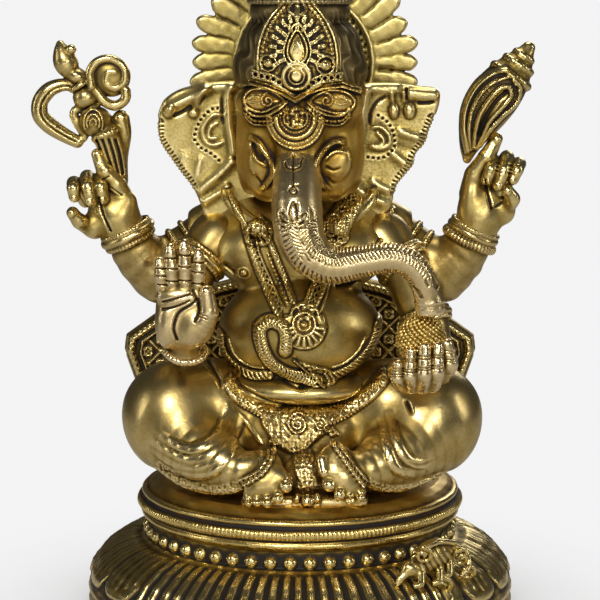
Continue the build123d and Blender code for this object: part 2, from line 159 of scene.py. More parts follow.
# ---- clay ---------------------------------------------------------------------------------------
class Clay:
    """A block of clay on a grid, and the relief map waiting to be pressed into its front."""

    def __init__(self, low, high, step=0.5):
        self.step = step * COARSE
        self.axes = [np.arange(a, b + self.step, self.step, dtype=np.float32)
                     for a, b in zip(low, high)]
        self.field = np.full([len(a) for a in self.axes], FAR, np.float32)
        self.x = self.axes[0][:, None]
        self.z = self.axes[2][None, :]
        self.map = np.zeros((len(self.axes[0]), len(self.axes[2])), np.float32)

    # -- solid shapes --
    def window(self, low, high):
        """The grid slices that cover a box, and the open coordinates inside them."""
        spans = [slice(*np.clip(np.searchsorted(a, (lo, hi)), 0, len(a)))
                 for a, lo, hi in zip(self.axes, low, high)]
        x, y, z = (a[s] for a, s in zip(self.axes, spans))
        return tuple(spans), x[:, None, None], y[None, :, None], z[None, None, :]

    def merge(self, spans, shape, blend=0.0, cut=False):
        """Joins a field to the clay, or cuts it away."""
        old = self.field[spans]
        self.field[spans] = -melt(-old, shape, blend) if cut else melt(old, shape, blend)

    def ball(self, centre, radii, turn=(0, 0, 0), blend=0.0, cut=False):
        """An ellipsoid, turned by Euler angles in degrees."""
        r = np.broadcast_to(np.array(radii, float), 3)
        reach = r.max() + blend + 2
        c = np.array(centre, float)
        spans, x, y, z = self.window(c - reach, c + reach)
        x, y, z = x - c[0], y - c[1], z - c[2]
        m = np.array(Euler([radians(a) for a in turn]).to_matrix())
        u, v, w = ((m[0, i] * x + m[1, i] * y + m[2, i] * z) / r[i] for i in range(3))
        near = np.sqrt(u * u + v * v + w * w + 1e-8)
        slope = np.sqrt((u / r[0]) ** 2 + (v / r[1]) ** 2 + (w / r[2]) ** 2 + 1e-12)
        self.merge(spans, near * (near - 1) / slope, blend, cut)

    def rope(self, points, radius=None, blend=0.0, cut=False, spacing=None):
        """A round bar through (x, y, z) points of a radius, or through (x, y, z, radius) points."""
        p = np.array(points, float)
        if radius is not None:
            p = np.column_stack([p, np.broadcast_to(np.array(radius, float), len(p))])
        p = smooth(p, spacing or max(0.8, p[:, 3].min() * 0.6))
        reach = p[:, 3].max() + blend + 2
        spans = self.window(p[:, :3].min(0) - reach, p[:, :3].max(0) + reach)[0]
        own = np.full(self.field[spans].shape, FAR, np.float32)
        ax, ay, az = (a[s] for a, s in zip(self.axes, spans))
        for a, b in zip(p, p[1:]):
            low = np.minimum(a[:3], b[:3]) - reach
            high = np.maximum(a[:3], b[:3]) + reach
            part = tuple(slice(*np.searchsorted(axis, (lo, hi)))
                         for axis, lo, hi in zip((ax, ay, az), low, high))
            qx = ax[part[0]][:, None, None] - a[0]
            qy = ay[part[1]][None, :, None] - a[1]
            qz = az[part[2]][None, None, :] - a[2]
            run = b[:3] - a[:3]
            t = np.clip((qx * run[0] + qy * run[1] + qz * run[2]) / max(run @ run, 1e-9), 0, 1)
            d = np.sqrt((qx - t * run[0]) ** 2 + (qy - t * run[1]) ** 2
                        + (qz - t * run[2]) ** 2) - (a[3] + t * (b[3] - a[3]))
            own[part] = np.minimum(own[part], d)
        self.merge(spans, own, blend, cut)

    def ring(self, centre, axis, radius, wire, blend=0.0, notches=0, depth=0.25, cut=False):
        """A torus; notches divide its wire into as many swellings."""
        reach = radius + wire * 1.5 + blend + 2
        c = np.array(centre, float)
        spans, x, y, z = self.window(c - reach, c + reach)
        x, y, z = x - c[0], y - c[1], z - c[2]
        n = Vector(axis).normalized()
        e = n.orthogonal().normalized()
        f = n.cross(e)
        u, v, w = (x * d[0] + y * d[1] + z * d[2] for d in (e, f, n))
        own = wire
        if notches:
            swell = np.abs(np.cos(np.arctan2(v, u) * notches / 2))
            own = wire * (1 - depth + depth * np.sqrt(swell))
        self.merge(spans, np.sqrt((np.hypot(u, v) - radius) ** 2 + w * w) - own, blend, cut)

    def trim(self, point, normal):
        """Cuts off everything on the normal's side of a plane."""
        n = np.array(normal, float) / np.linalg.norm(normal)
        x, y, z = (a.reshape([-1 if i == j else 1 for j in range(3)]) - point[i]
                   for i, a in enumerate(self.axes))
        self.field = np.maximum(self.field, n[0] * x + n[1] * y + n[2] * z)

    def slab(self, outline, front, back, edge=1.0):
        """A flat plate: a closed (x, z) outline, from y = front to y = back, with rounded edges."""
        gap = self.gap(outline, FAR)[:, None, :] + edge
        thick = np.abs(self.axes[1] - (front + back) / 2)[None, :, None] - (back - front) / 2 + edge
        outside = np.hypot(np.maximum(gap, 0), np.maximum(thick, 0))
        shape = outside + np.minimum(np.maximum(gap, thick), 0) - edge
        self.field = np.minimum(self.field, shape)

    # -- relief on the front --
    def trace(self, path, reach):
        """For cells near an (x, z) path: where they are, how far off, how far along, which side.

        A list of more than two points is smoothed first; an array is taken as it is."""
        curved = isinstance(path, list) and len(path) > 2
        p = smooth(path) if curved else np.array(path, float)
        xs, zs = self.axes[0], self.axes[2]
        i = slice(*np.searchsorted(xs, (p[:, 0].min() - reach, p[:, 0].max() + reach)))
        k = slice(*np.searchsorted(zs, (p[:, 1].min() - reach, p[:, 1].max() + reach)))
        x, z = xs[i][:, None], zs[k][None, :]
        off = np.full((x.shape[0], z.shape[1]), OFF_PATH, np.float32)
        run, side = np.zeros_like(off), np.zeros_like(off)
        so_far = 0.0
        for a, b in zip(p, p[1:]):
            d = b - a
            length = max(np.hypot(*d), 1e-6)
            t = np.clip(((x - a[0]) * d[0] + (z - a[1]) * d[1]) / length ** 2, 0, 1)
            gap = np.hypot(x - a[0] - t * d[0], z - a[1] - t * d[1])
            nearer = gap < off
            off = np.where(nearer, gap, off)
            run = np.where(nearer, so_far + t * length, run)
            across = (d[0] * (z - a[1]) - d[1] * (x - a[0])) / length
            side = np.where(nearer, across, side)
            so_far += length
        return (i, k), off, run, side

    def gap(self, outline, reach):
        """The distance from each cell to a closed outline, negative inside it."""
        where, off, _, _ = self.trace(loop(outline), reach)
        gap = np.full(self.map.shape, FAR, np.float32)
        gap[where] = np.minimum(off, FAR)
        return np.where(self.within(outline, 0.01) > 0, -gap, gap)

    def stamp(self, where, height):
        """Raises the map to a height where it is higher, without piling up."""
        here = self.map[where]
        self.map[where] = np.maximum(here, height)

    def sink(self, where, depth):
        """Lowers the map by a depth."""
        self.map[where] -= depth

    def cord(self, path, width, height=None, fade=0.0):
        """A round moulding, which dies away over a length of fade at its ends."""
        where, off, run, _ = self.trace(path, width + 1)
        round_ = np.sqrt(np.clip(1 - (off / width) ** 2, 0, 1))
        self.stamp(where, (height or width) * round_ * self.taper(run, fade))

    @staticmethod
    def taper(run, fade):
        """1 along a path, falling to 0 over a length of fade at each end."""
        if not fade:
            return 1.0
        return np.sin(pi / 2 * np.clip(np.minimum(run, run.max() - run) / fade, 0, 1))

    def twist(self, path, width, pitch, height=None, slant=0.8):
        """A roped moulding."""
        where, off, run, side = self.trace(path, width + 1)
        strand = 0.62 + 0.38 * np.abs(np.cos(pi * (run + slant * side) / pitch))
        round_ = np.sqrt(np.clip(1 - (off / width) ** 2, 0, 1))
        self.stamp(where, (height or width) * round_ * strand)

    def beads(self, path, radius, pitch=None, height=None):
        """A row of beads."""
        pitch = pitch or 2.1 * radius
        where, off, run, _ = self.trace(path, radius + 1)
        step = (run + pitch / 2) % pitch - pitch / 2
        self.stamp(where, (height or radius) * np.sqrt(
            np.clip(1 - (off ** 2 + step ** 2) / radius ** 2, 0, 1)))

    def groove(self, path, width, depth, fade=0.0):
        """An engraved line, which dies away over a length of fade at its ends."""
        where, off, run, _ = self.trace(path, 3 * width)
        self.sink(where, depth * np.exp(-(off / width) ** 2) * self.taper(run, fade))

    def swell(self, path, width, height, fade=4.0):
        """A soft ridge."""
        self.groove(path, width, -height, fade)

    def hatch(self, path, reach, pitch, depth, inner=0.0, slant=0.0, side=0):
        """Short engraved strokes across a path, on both sides of it or on one."""
        where, off, run, across = self.trace(path, reach + 1)
        stroke = np.clip(np.cos(tau * (run + slant * np.abs(across)) / pitch) * 1.6 - 0.5, 0, 1)
        inside = (off < reach) & (off > inner)
        if side:
            inside &= across * side > 0
        self.sink(where, depth * stroke * inside)

    def boss(self, x, z, radius, height=None):
        """A half-round stud."""
        self.cord(dot(x, z), radius, height)

    def circle(self, x, z, radius, width, height=None):
        """A raised ring."""
        self.cord(arc(x, z, radius, radius, 0, 360), width, height)

    def hole(self, x, z, radius, depth):
        """A drilled dimple."""
        self.groove(dot(x, z), radius, depth)

    def within(self, outline, edge=0.6):
        """A mask, 0 to 1, of the cells inside a closed (x, z) outline."""
        p = np.array(outline, float)
        inside = np.zeros(self.map.shape, bool)
        for a, b in zip(p, np.roll(p, -1, 0)):
            crosses = (a[1] > self.z) != (b[1] > self.z)
            at = a[0] + (self.z - a[1]) * (b[0] - a[0]) / (b[1] - a[1] + 1e-12)
            inside ^= crosses & (self.x < at)
        where, off, _, _ = self.trace(loop(p), 3 * edge)
        mask = inside.astype(np.float32)
        mask[where] *= np.clip(off / edge, 0, 1)
        return mask

    def strip(self, path, width):
        """A mask, 0 to 1, of the cells within width of a path."""
        where, off, _, _ = self.trace(path, width)
        mask = np.zeros_like(self.map)
        mask[where] = np.clip(width - off, 0, 1)
        return mask

    def pad(self, outline, height, edge):
        """Raises the inside of a closed outline."""
        self.map += height * self.within(outline, edge)

    def grain(self, mask, size, height, seed=1.0):
        """Packed granules over a mask."""
        bump = np.clip(1 - lattice_noise(self.x, self.z, size, seed) / 0.62, 0, 1)
        self.map += height * np.sqrt(bump) * mask

    def press(self, depth):
        """Presses the relief map into the clay's front, and clears the map."""
        inside = self.field < 0
        hit = inside.any(1)
        skin = np.where(hit, self.axes[1][inside.argmax(1)], OFF_PATH)
        behind = self.axes[1][None, :, None] - skin[:, None, :]
        fade = np.clip((depth - behind) / 2, 0, 1)
        self.field -= (self.map[:, None, :] * fade).astype(np.float32)
        self.map[:] = 0

    # -- out of the mould --
    def proudness(self, size):
        """How far each cell of the field stands out of the shape's mean over size millimetres."""
        near = np.clip(self.field, -BAND, BAND)
        return box_blur(near, size / self.step) - near

    def sample(self, grid, at):
        """A grid's values at fractional cell places."""
        top = np.array(grid.shape) - 2
        base = np.clip(np.floor(at).astype(int), 0, top)
        f = at - base
        total = 0
        for dx in (0, 1):
            for dy in (0, 1):
                for dz in (0, 1):
                    w = (np.abs(1 - dx - f[:, 0]) * np.abs(1 - dy - f[:, 1]) * np.abs(1 - dz - f[:, 2]))
                    total = total + w * grid[base[:, 0] + dx, base[:, 1] + dy, base[:, 2] + dz]
        return total

    def cast(self, node, material, depth=None):
        """The clay's surface as a mesh piece that stands for a CAD node.

        With a depth, the relief map is pressed that far into it first."""
        if depth:
            self.press(depth)
        for axis in range(3):  # the block's own faces are open air
            for end in (0, -1):
                index = [slice(None)] * 3
                index[axis] = end
                self.field[tuple(index)] = np.maximum(self.field[tuple(index)], self.step)
        grid = openvdb.FloatGrid(BAND)
        grid.copyFromArray(np.clip(self.field, -BAND, BAND))
        points, quads = grid.convertToQuads(0.0)
        fine = self.sample(self.proudness(FINE), points) / FINE_RISE
        broad = self.sample(self.proudness(BROAD), points) / BROAD_RISE
        origin = np.array([a[0] for a in self.axes])
        proud = np.clip(FINE_SHARE * fine + BROAD_SHARE * broad, -1, 1)
        piece(node + "_cast", (points * self.step + origin) * MM, quads, node, material, proud)


def piece(name, points, quads, node, material, proud):
    """A mesh object riding on the root body, standing for a CAD node."""
    both, quads = biggest_shell(np.column_stack([np.asarray(points, np.float32), proud]),
                                np.asarray(quads, np.int32))
    points, proud = both[:, :3], both[:, 3]
    a, b, c, d = (points[quads[:, i]] for i in range(4))
    volume = np.einsum("ij,ij->i", a, np.cross(b, c) + np.cross(c, d)).sum()
    if volume < 0:
        quads = quads[:, ::-1]
    mesh = bpy.data.meshes.new(name)
    mesh.vertices.add(len(points))
    mesh.vertices.foreach_set("co", points.ravel())
    mesh.loops.add(quads.size)
    mesh.loops.foreach_set("vertex_index", quads.ravel())
    mesh.polygons.add(len(quads))
    mesh.polygons.foreach_set("loop_start", np.arange(0, quads.size, 4, dtype=np.int32))
    mesh.polygons.foreach_set("loop_total", np.full(len(quads), 4, np.int32))
    mesh.update(calc_edges=True)
    mesh.shade_smooth()
    mesh.attributes.new("proud", "FLOAT", "POINT").data.foreach_set("value", proud.astype(np.float32))
    mesh.materials.append(material)
    obj = bpy.data.objects.new(name, mesh)
    bpy.context.scene.collection.objects.link(obj)
    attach(obj, "root")
    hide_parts(node)


def biggest_shell(points, quads):
    """Drops every loose crumb, keeping the connected shell with the most faces."""
    label = np.arange(len(points))
    ends = np.vstack([quads[:, [0, 1]], quads[:, [1, 2]], quads[:, [2, 3]]])
    while True:
        low = np.minimum(label[ends[:, 0]], label[ends[:, 1]])
        fresh = label.copy()
        np.minimum.at(fresh, ends[:, 0], low)
        np.minimum.at(fresh, ends[:, 1], low)
        np.minimum.at(fresh, label[ends[:, 0]], low)
        np.minimum.at(fresh, label[ends[:, 1]], low)
        fresh = fresh[fresh]
        if (fresh == label).all():
            break
        label = fresh
    shells, counts = np.unique(label[quads[:, 0]], return_counts=True)
    keep = label == shells[counts.argmax()]
    renumber = np.cumsum(keep) - 1
    return points[keep], renumber[quads[keep[quads[:, 0]]]].astype(np.int32)


def lathe(name, node, material, outline, columns, relief, pitch):
    """A turned casting with relief.

    outline is a closed loop of (radius, height) points; relief(turn, radius, height) is how far the
    surface stands out in millimetres, at an angle turn from the front."""
    columns = int(columns / COARSE)
    p = np.array(outline, float)
    rows = []
    for a, b in zip(p, np.roll(p, -1, 0)):
        inner = max(a[0], b[0]) < 60  # hidden, so it can be coarse
        count = max(1, int(np.hypot(*(b - a)) / (pitch * COARSE * (6 if inner else 1))))
        rows += [a + (b - a) * i / count for i in range(count)]
    r, z = np.array(rows).T
    ahead, behind = np.roll(rows, -1, 0), np.roll(rows, 1, 0)
    run = ahead - behind
    run /= np.linalg.norm(run, axis=1)[:, None]
    nr, nz = -run[:, 1], run[:, 0]  # outwards, for a loop that runs clockwise in (r, z)
    turn = np.linspace(-pi, pi, columns, endpoint=False)
    t, rr = np.meshgrid(turn, r, indexing="ij")
    zz = np.broadcast_to(z, t.shape)
    rise = relief(t, rr, zz)
    far = rr + nr * rise
    high = zz + nz * rise
    points = np.stack([far * np.sin(t), -far * np.cos(t), high], -1).reshape(-1, 3)
    i, j = np.meshgrid(np.arange(columns), np.arange(len(r)), indexing="ij")
    quads = np.column_stack([((a % columns) * len(r) + b % len(r)).ravel()
                             for a, b in ((i, j), (i + 1, j), (i + 1, j + 1), (i, j + 1))])
    mean = rise.copy()
    for axis, width in ((0, 6), (1, 3), (0, 6), (1, 3)):
        mean = sum(np.roll(mean, s, axis) for s in range(-width, width + 1)) / (2 * width + 1)
    piece(name, points * MM, quads, node, material, np.clip((rise - mean) / 0.5, -1, 1).ravel())


# ---- materials ----------------------------------------------------------------------------------
class Shading:
    """The node tree of a material or a world, while it is being wired up."""

    def __init__(self, owner):
        owner.use_nodes = True
        self.owner = owner
        self.nodes = owner.node_tree.nodes

    def add(self, kind, **values):
        """A new node, with its inputs or settings by name; an input may be another node's output."""
        made = self.nodes.new(kind)
        for key, value in values.items():
            if key in made.inputs:
                self.feed(made.inputs[key], value)
            else:
                setattr(made, key, value)
        return made

    def feed(self, socket, value):
        """Sets an input to a plain value, or links it to another node's output."""
        if isinstance(value, bpy.types.NodeSocket):
            self.owner.node_tree.links.new(value, socket)
        else:
            socket.default_value = value

    def math(self, operation, *values):
        """The output of a math node."""
        made = self.add("ShaderNodeMath", operation=operation)
        for socket, value in zip(made.inputs, values):
            self.feed(socket, value)
        return made.outputs[0]

    def seen(self, others, camera, output):
        """Shows one shader to the camera and another one to every other ray."""
        mix = self.add("ShaderNodeMixShader")
        rays = (self.add("ShaderNodeLightPath").outputs["Is Camera Ray"], others, camera)
        for socket, value in zip(mix.inputs, rays):
            self.feed(socket, value)
        self.feed(self.nodes[output].inputs["Surface"], mix.outputs[0])


def brass(name, shades, wear=0.0, shine=0.25, dull=0.6, pits=0.0):
    """Cast brass: patina where the relief is sunken, polish where it stands proud.

    shades are (dark patina, brown, brass, polished brass); wear shifts the balance to polish."""
    work = Shading(bpy.data.materials.new(name))
    add, math = work.add, work.math
    shader = work.nodes["Principled BSDF"]
    place = add("ShaderNodeTexCoord").outputs["Object"]

    def noise(scale, detail, roughness=0.55):
        """Cloudy noise, 0 to 1."""
        made = add("ShaderNodeTexNoise", Vector=place, Scale=scale, Detail=detail, Roughness=roughness)
        return made.outputs["Fac"]

    def about_zero(source, share):
        """A 0 to 1 value as a swing about zero."""
        return math("MULTIPLY", math("SUBTRACT", source, 0.5), share)

    def remap(low, high, at_low, at_high):
        """How polished the place is, mapped from low..high to another range."""
        made = add("ShaderNodeMapRange", Value=amount)
        for key, value in zip(("From Min", "From Max", "To Min", "To Max"), (low, high, at_low, at_high)):
            made.inputs[key].default_value = value
        return made.outputs[0]

    proud = add("ShaderNodeAttribute", attribute_name="proud").outputs["Fac"]
    clouds, blotch, speck = noise(28, 4), noise(150, 4, 0.6), noise(900, 3, 0.7)
    amount = math("MULTIPLY_ADD", proud, 0.52, 0.56 + wear)
    for source, share in ((clouds, 0.36), (blotch, 0.3), (speck, 0.22)):
        amount = math("ADD", amount, about_zero(source, share))

    ramp = add("ShaderNodeValToRGB", Fac=amount)
    stops = ramp.color_ramp.elements
    stops.new(0.3)
    stops.new(0.52)
    for stop, at, shade in zip(stops, (0.06, 0.27, 0.5, 0.86), shades):
        stop.position, stop.color = at, (*shade, 1)
    work.feed(shader.inputs["Base Color"], ramp.outputs["Color"])
    rough = math("ADD", remap(0.15, 0.8, dull, shine), about_zero(speck, 0.16))
    work.feed(shader.inputs["Roughness"], rough)
    work.feed(shader.inputs["Metallic"], remap(0.05, 0.3, 0.35, 1.0))

    skin = math("ADD", math("MULTIPLY", blotch, 0.5), math("MULTIPLY", speck, 0.35))
    if pits:
        cells = add("ShaderNodeTexVoronoi", Vector=place, Scale=420.0)
        pit = math("MINIMUM", cells.outputs["Distance"], 0.35)
        skin = math("ADD", skin, math("MULTIPLY", pit, pits))
    bump = add("ShaderNodeBump", Strength=0.35, Distance=0.0005, Height=skin)
    work.feed(shader.inputs["Normal"], bump.outputs["Normal"])
    return work.owner


INK, UMBER = (0.016, 0.013, 0.011), (0.110, 0.066, 0.018)
BRASS = brass("cast_brass", (INK, UMBER, (0.40, 0.28, 0.070), (0.86, 0.69, 0.30)))
LIMB = brass("limb_brass", (INK, UMBER, (0.42, 0.29, 0.078), (0.86, 0.68, 0.32)), 0.03, 0.22)
ROSY = brass("handled_brass", (INK, UMBER, (0.46, 0.335, 0.12), (0.86, 0.68, 0.38)), 0.04)
AMBER = brass(
    "amber_brass", (INK, (0.105, 0.050, 0.008), (0.42, 0.255, 0.042), (0.78, 0.58, 0.20)), 0.0, 0.27)
AGED = brass("aged_brass", (INK, (0.085, 0.054, 0.016), (0.36, 0.25, 0.064), (0.76, 0.60, 0.25)), -0.02)
DARK = brass(
    "dark_patina",
    ((0.010, 0.010, 0.012), (0.035, 0.028, 0.018), (0.14, 0.10, 0.040), (0.42, 0.33, 0.15)), -0.04, 0.33)
SHOULDER = brass(
    "shoulder_brass",
    ((0.012, 0.010, 0.012), (0.060, 0.040, 0.018), (0.34, 0.23, 0.062), (0.80, 0.62, 0.27)), 0.0, 0.23)
EAR = brass("ear_brass", (INK, (0.12, 0.078, 0.020), (0.42, 0.31, 0.085), (0.84, 0.68, 0.30)), 0.02, 0.3)
HALO = brass(
    "pitted_brass", (INK, (0.11, 0.072, 0.018), (0.41, 0.31, 0.08), (0.82, 0.66, 0.27)),
    0.03, 0.36, 0.55, 0.9)


def dull_steel():
    """Plain steel with a fine mill grain, for the hidden fasteners."""
    work = Shading(bpy.data.materials.new("dull_steel"))
    shader = work.nodes["Principled BSDF"]
    shader.inputs["Metallic"].default_value = 1.0
    place = work.add("ShaderNodeTexCoord").outputs["Object"]
    grain = work.add("ShaderNodeTexNoise", Vector=place, Scale=600).outputs["Fac"]
    for key, low, high in (
            ("Base Color", (0.20, 0.19, 0.18, 1), (0.42, 0.41, 0.40, 1)),
            ("Roughness", (0.35, 0.35, 0.35, 1), (0.55, 0.55, 0.55, 1))):
        ramp = work.add("ShaderNodeValToRGB", Fac=grain)
        ramp.color_ramp.elements[0].color = low
        ramp.color_ramp.elements[1].color = high
        work.feed(shader.inputs[key], ramp.outputs["Color"])
    return work.owner


# ---- base and seat ------------------------------------------------------------------------------
FLUTES, PETALS, NECK_BEADS, RIM_TICKS = 90, 22, 51, 120
NECK_RADIUS = 77.0


def ridge(value, power=0.5):
    """0 below 0, 1 above 1, and rounded between."""
    return np.clip(value, 0, 1) ** power


def base_relief(turn, r, z):
    """Narrow flutes in front, broad lined petals at the sides, beads round the neck."""
    rise = np.zeros_like(r)
    down = np.clip((36.0 - z) / 20.0, 0, 1)  # 0 at the ledge, 1 where the petals end
    body = (z < 36.2) & (z > 13) & (r > 78)
    wobble = 0.012 * np.sin(5 * turn + 1) + 0.008 * np.sin(11 * turn)
    at_side = np.abs(np.abs(turn + 0.05) - pi / 2) < 0.78

    flute = np.abs(((turn + wobble) * FLUTES / tau) % 1 - 0.5) * 2  # 0 in the middle, 1 between flutes
    end = np.clip((0.96 - 0.10 * (2 * flute - 1) ** 2 - down) / 0.05, 0, 1)
    start = np.clip(down / 0.06, 0, 1)
    narrow = 1.5 * ridge(1.25 * (flute - 0.32) / 0.5, 0.6) * end * start
    narrow -= 0.35 * np.exp(-((flute - 1) / 0.10) ** 2) * end * start

    u = (((turn + wobble) * PETALS / tau) % 1 - 0.5) * 2
    end = np.clip((1.0 - 0.45 * u ** 4 - down) / 0.06, 0, 1)
    lined = 0.45 * np.abs(np.cos(2.5 * pi * u)) ** 3 * (np.abs(u) < 0.8) * (down < 0.75 - 0.4 * u * u)
    broad = (1.3 * ridge(1.15 - np.abs(u) ** 5, 0.5) + lined) * end * start
    rise += body * np.where(at_side, broad, narrow)

    bead = np.abs((turn * NECK_BEADS / tau) % 1 - 0.5) * 2 * (NECK_RADIUS * pi / NECK_BEADS)
    high = z - 40.6
    rise += 3.0 * np.sqrt(np.clip(1 - (bead ** 2 + high ** 2) / 3.3 ** 2, 0, 1)) * (r < 82)
    rise += 0.8 * np.exp(-((z - 36.6) / 0.7) ** 2) * (r > 70)
    rise += 0.9 * np.exp(-((z - 11.5) / 0.9) ** 2) * (r > 100)
    rough = 0.14 * np.sin(31 * turn + 0.7 * z) * np.sin(17 * turn - 0.9 * z + 1)
    return rise + rough * (r > 78)


def base():
    """The round base: a hollow turned casting with a flared, petalled flank."""
    outline = [(22, 46), (76.5, 46), (76.5, 38), (79, 36.4), (84, 35), (92, 31.5), (99.5, 26.5),
               (104.6, 20.5), (106.4, 15), (106.6, 11), (106.0, 8), (107.2, 5), (107, 2), (105, 0),
               (98, 0), (99.5, 14), (91, 29), (72, 39.5), (22, 40)]
    lathe("lotus_base_cast", "lotus_base", AGED, outline, 1100, base_relief, 0.7)


def seat_relief(turn, r, z):
    """A roped rim over a plain step, and a lightly dished top."""
    ticks = 0.5 + 0.5 * np.sqrt(np.abs(np.cos(turn * RIM_TICKS + 0.25 * np.sin(9 * turn))))
    rise = 1.5 * ticks * ridge(1 - ((z - 55.0) / 2.3) ** 2) * (r > 76)
    rise += 1.1 * ridge(1 - ((z - 60.4) / 1.2) ** 2) * (r > 74)
    rise += 0.7 * ridge(1 - ((z - 49.6) / 1.5) ** 2) * (r > 76)
    rise -= 0.5 * np.exp(-((z - 51.9) / 0.5) ** 2) * (r > 76)
    rise += 0.12 * np.sin(23 * turn + z) * np.sin(9 * turn + 2) * (r > 60)
    return rise


def seat():
    """The drum between the base and the figure."""
    outline = [(4.2, 66.5), (66, 66.5), (71, 66.2), (74.5, 64.2), (77.5, 61.5), (79, 59.8), (79.4, 58.2),
               (80.4, 57.5), (80.7, 54.6), (80.2, 51.6), (78.8, 51), (79.4, 49.2), (78.4, 47),
               (76.4, 46), (66, 46), (18, 46), (4.2, 46)]
    lathe("drum_seat_cast", "seat", AMBER, outline, 1400, seat_relief, 0.55)


def mouse():
    """The small mouse lying on the base's left shoulder, in scrolling leaves."""
    clay = Clay((40, -98, 26), (86, -50, 56), 0.4)
    clay.ball((63, -70, 43), (12, 7, 7.5), (0, -12, 40), 2)
    clay.ball((54, -77, 38), (7, 4.5, 4.5), (0, 20, 40), 3)
    clay.rope([(50, -80, 37, 2.6), (47, -82, 34.5, 1.7), (46, -83, 32.5, 1.1)], blend=1.5)
    for y, z in ((-79, 43.5), (-74, 44)):
        clay.ball((54.5, y, z), (2.3, 1.4, 2.6), (0, 0, 40), 0.4)
        clay.ball((54.2, y - 1.3, z), (1.3, 1.2, 1.6), (0, 0, 40), 0.3, cut=True)
    clay.ball((51, -81.5, 39.5), 0.9)
    tail = [(72, -66, 46, 1.8), (79, -62, 43, 1.5), (81, -64, 36, 1.3), (77, -70, 33, 0.9)]
    clay.rope(tail, blend=0.8)
    for x, y, z in ((57, -82, 33), (66, -77, 33), (71, -72, 35)):
        leg_and_foot = [(x, y + 4, z + 5, 2.6), (x, y - 1, z, 1.8), (x - 2.5, y - 2.5, z - 1, 1.4)]
        clay.rope(leg_and_foot, blend=1)
    clay.rope([(58, -78, 48), (66, -74, 50.5), (74, -66, 48)], 1.3, 0.5)
    clay.map += 0.22 * np.cos(2.2 * clay.x + 1.2 * clay.z) * clay.within(arc(63, 43, 10, 6, 0, 350))
    for x, z, hand in ((77, 40, 1), (80, 32, -1), (50, 30, 1), (68, 29, -1), (58, 46, -1)):
        y = -sqrt(max(0, 101.5 ** 2 - x * x))
        curl = spiral(x, z, 4.6, 1.3, 90, hand)
        clay.rope([(a, y + 0.55 * (z - b) + 2, b) for a, b in curl[::3]], 1.1, 0.4)
    clay.cast("mouse", AGED, 4)


# ---- the body -----------------------------------------------------------------------------------
def torso():
    """Chest, shoulders and round belly, down to the roll over the lap."""
    clay = Clay((-56, -58, 98), (56, 30, 213), 0.5)
    clay.ball((0, -14, 143), (40, 35, 27.5))
    clay.ball((0, -3, 184), (44, 24, 26), blend=9)
    clay.ball((0, -15, 115.5), (38, 31, 10.5), blend=2.5)
    for side in (-1, 1):
        clay.ball((side * 20, -15, 181), (23, 16, 16), blend=7)
        clay.rope([(side * 26, 2, 200), (side * 46, 5, 190)], 13, blend=8)
        clay.rope([(side * 20, -34, 196), (side * 34, -22, 207), (side * 36, -8, 215)], 3, blend=3)
    clay.rope([(0, 4, 196), (0, 0, 214)], 14, blend=6)
    clay.rope([(-2, -49.5, 121), (0, -50, 119.5), (3, -49.5, 121)], 1.6, blend=2, cut=True)
    chest(clay)
    belly(clay)
    clay.cast("torso", BRASS, 6)


def chest(clay):
    """Necklaces, collar clusters and the folds under the chest."""
    clay.groove([(-36, 176), (-31, 172), (-24, 166.5), (-12, 165)], 1.3, 1.6)
    clay.groove([(13, 167), (24, 167), (31, 172), (36, 179)], 1.3, 1.6)
    for x in (-27.5, 27.5):
        clay.boss(x, 172.5, 1.6, 1.2)
        clay.circle(x, 172.5, 2.9, 0.5, 0.5)

    outer = smooth([(-27, 196), (-24, 186), (-18.4, 169.7), (-9.7, 153.5)])
    middle = smooth([(-21, 190), (-19.8, 183.4), (-14.5, 170), (-8, 158)])
    inner = smooth([(-17, 192), (-14.5, 188), (-9, 174), (-3.2, 161)])
    clay.map -= 0.5 * clay.within(np.vstack([outer, inner[::-1]]), 1)
    clay.twist(outer, 1.9, 2.2, 2.0)
    clay.cord(middle, 0.6, 1.2)
    clay.twist(inner, 1.6, 1.9, 1.8)
    for x, z in smooth([(-22, 184), (-16.8, 171), (-9.6, 157.5)], 3.1):
        clay.circle(x - 0.6, z, 1.2, 0.55, 1.2)
    for x, z in smooth([(-15.2, 182), (-11.6, 172), (-6.2, 160.5)], 2.2):
        clay.boss(x, z, 0.8, 1.0)
    clay.twist([(-34, 212), (-31, 205), (-27, 197)], 1.6, 1.9, 1.7)

    collar = smooth([
        (-27, 188), (-26, 197), (-19, 200), (-13, 195), (-15, 187), (-21, 186)], closed=True)
    clay.pad(collar, 1.2, 1.5)
    clay.grain(clay.within(collar, 0.8), 1.7, 1.1, 3)
    lappet = smooth([
        (10, 196), (18, 206), (26, 213), (31, 208), (25, 196), (23, 188), (14, 185)], closed=True)
    clay.pad(lappet, 1.4, 1.5)
    clay.grain(clay.within(lappet, 0.8), 1.6, 1.1, 4)
    clay.beads([(26, 212), (23.5, 203), (22.3, 193.5)], 0.9, 2.0, 1.9)
    clay.beads([(30, 211), (27, 204), (23.5, 197)], 0.9, 2.0, 1.9)

    for shift in (0, 5.4):
        clay.twist([(8.6 + shift, 171), (4.4 + shift, 163), (0.5 + shift * 0.6, 154)], 1.5, 1.9, 1.7)
    for x, z in smooth([(11.6, 171), (7.8, 163), (4, 156)], 2.8):
        clay.circle(x, z, 1.1, 0.5, 1.2)
    clay.cord([(15.5, 171), (12, 161), (9, 155)], 0.6, 1.0)
    clay.twist([(46, 201), (43.5, 193), (38.5, 185.5)], 1.7, 2.0, 1.7)


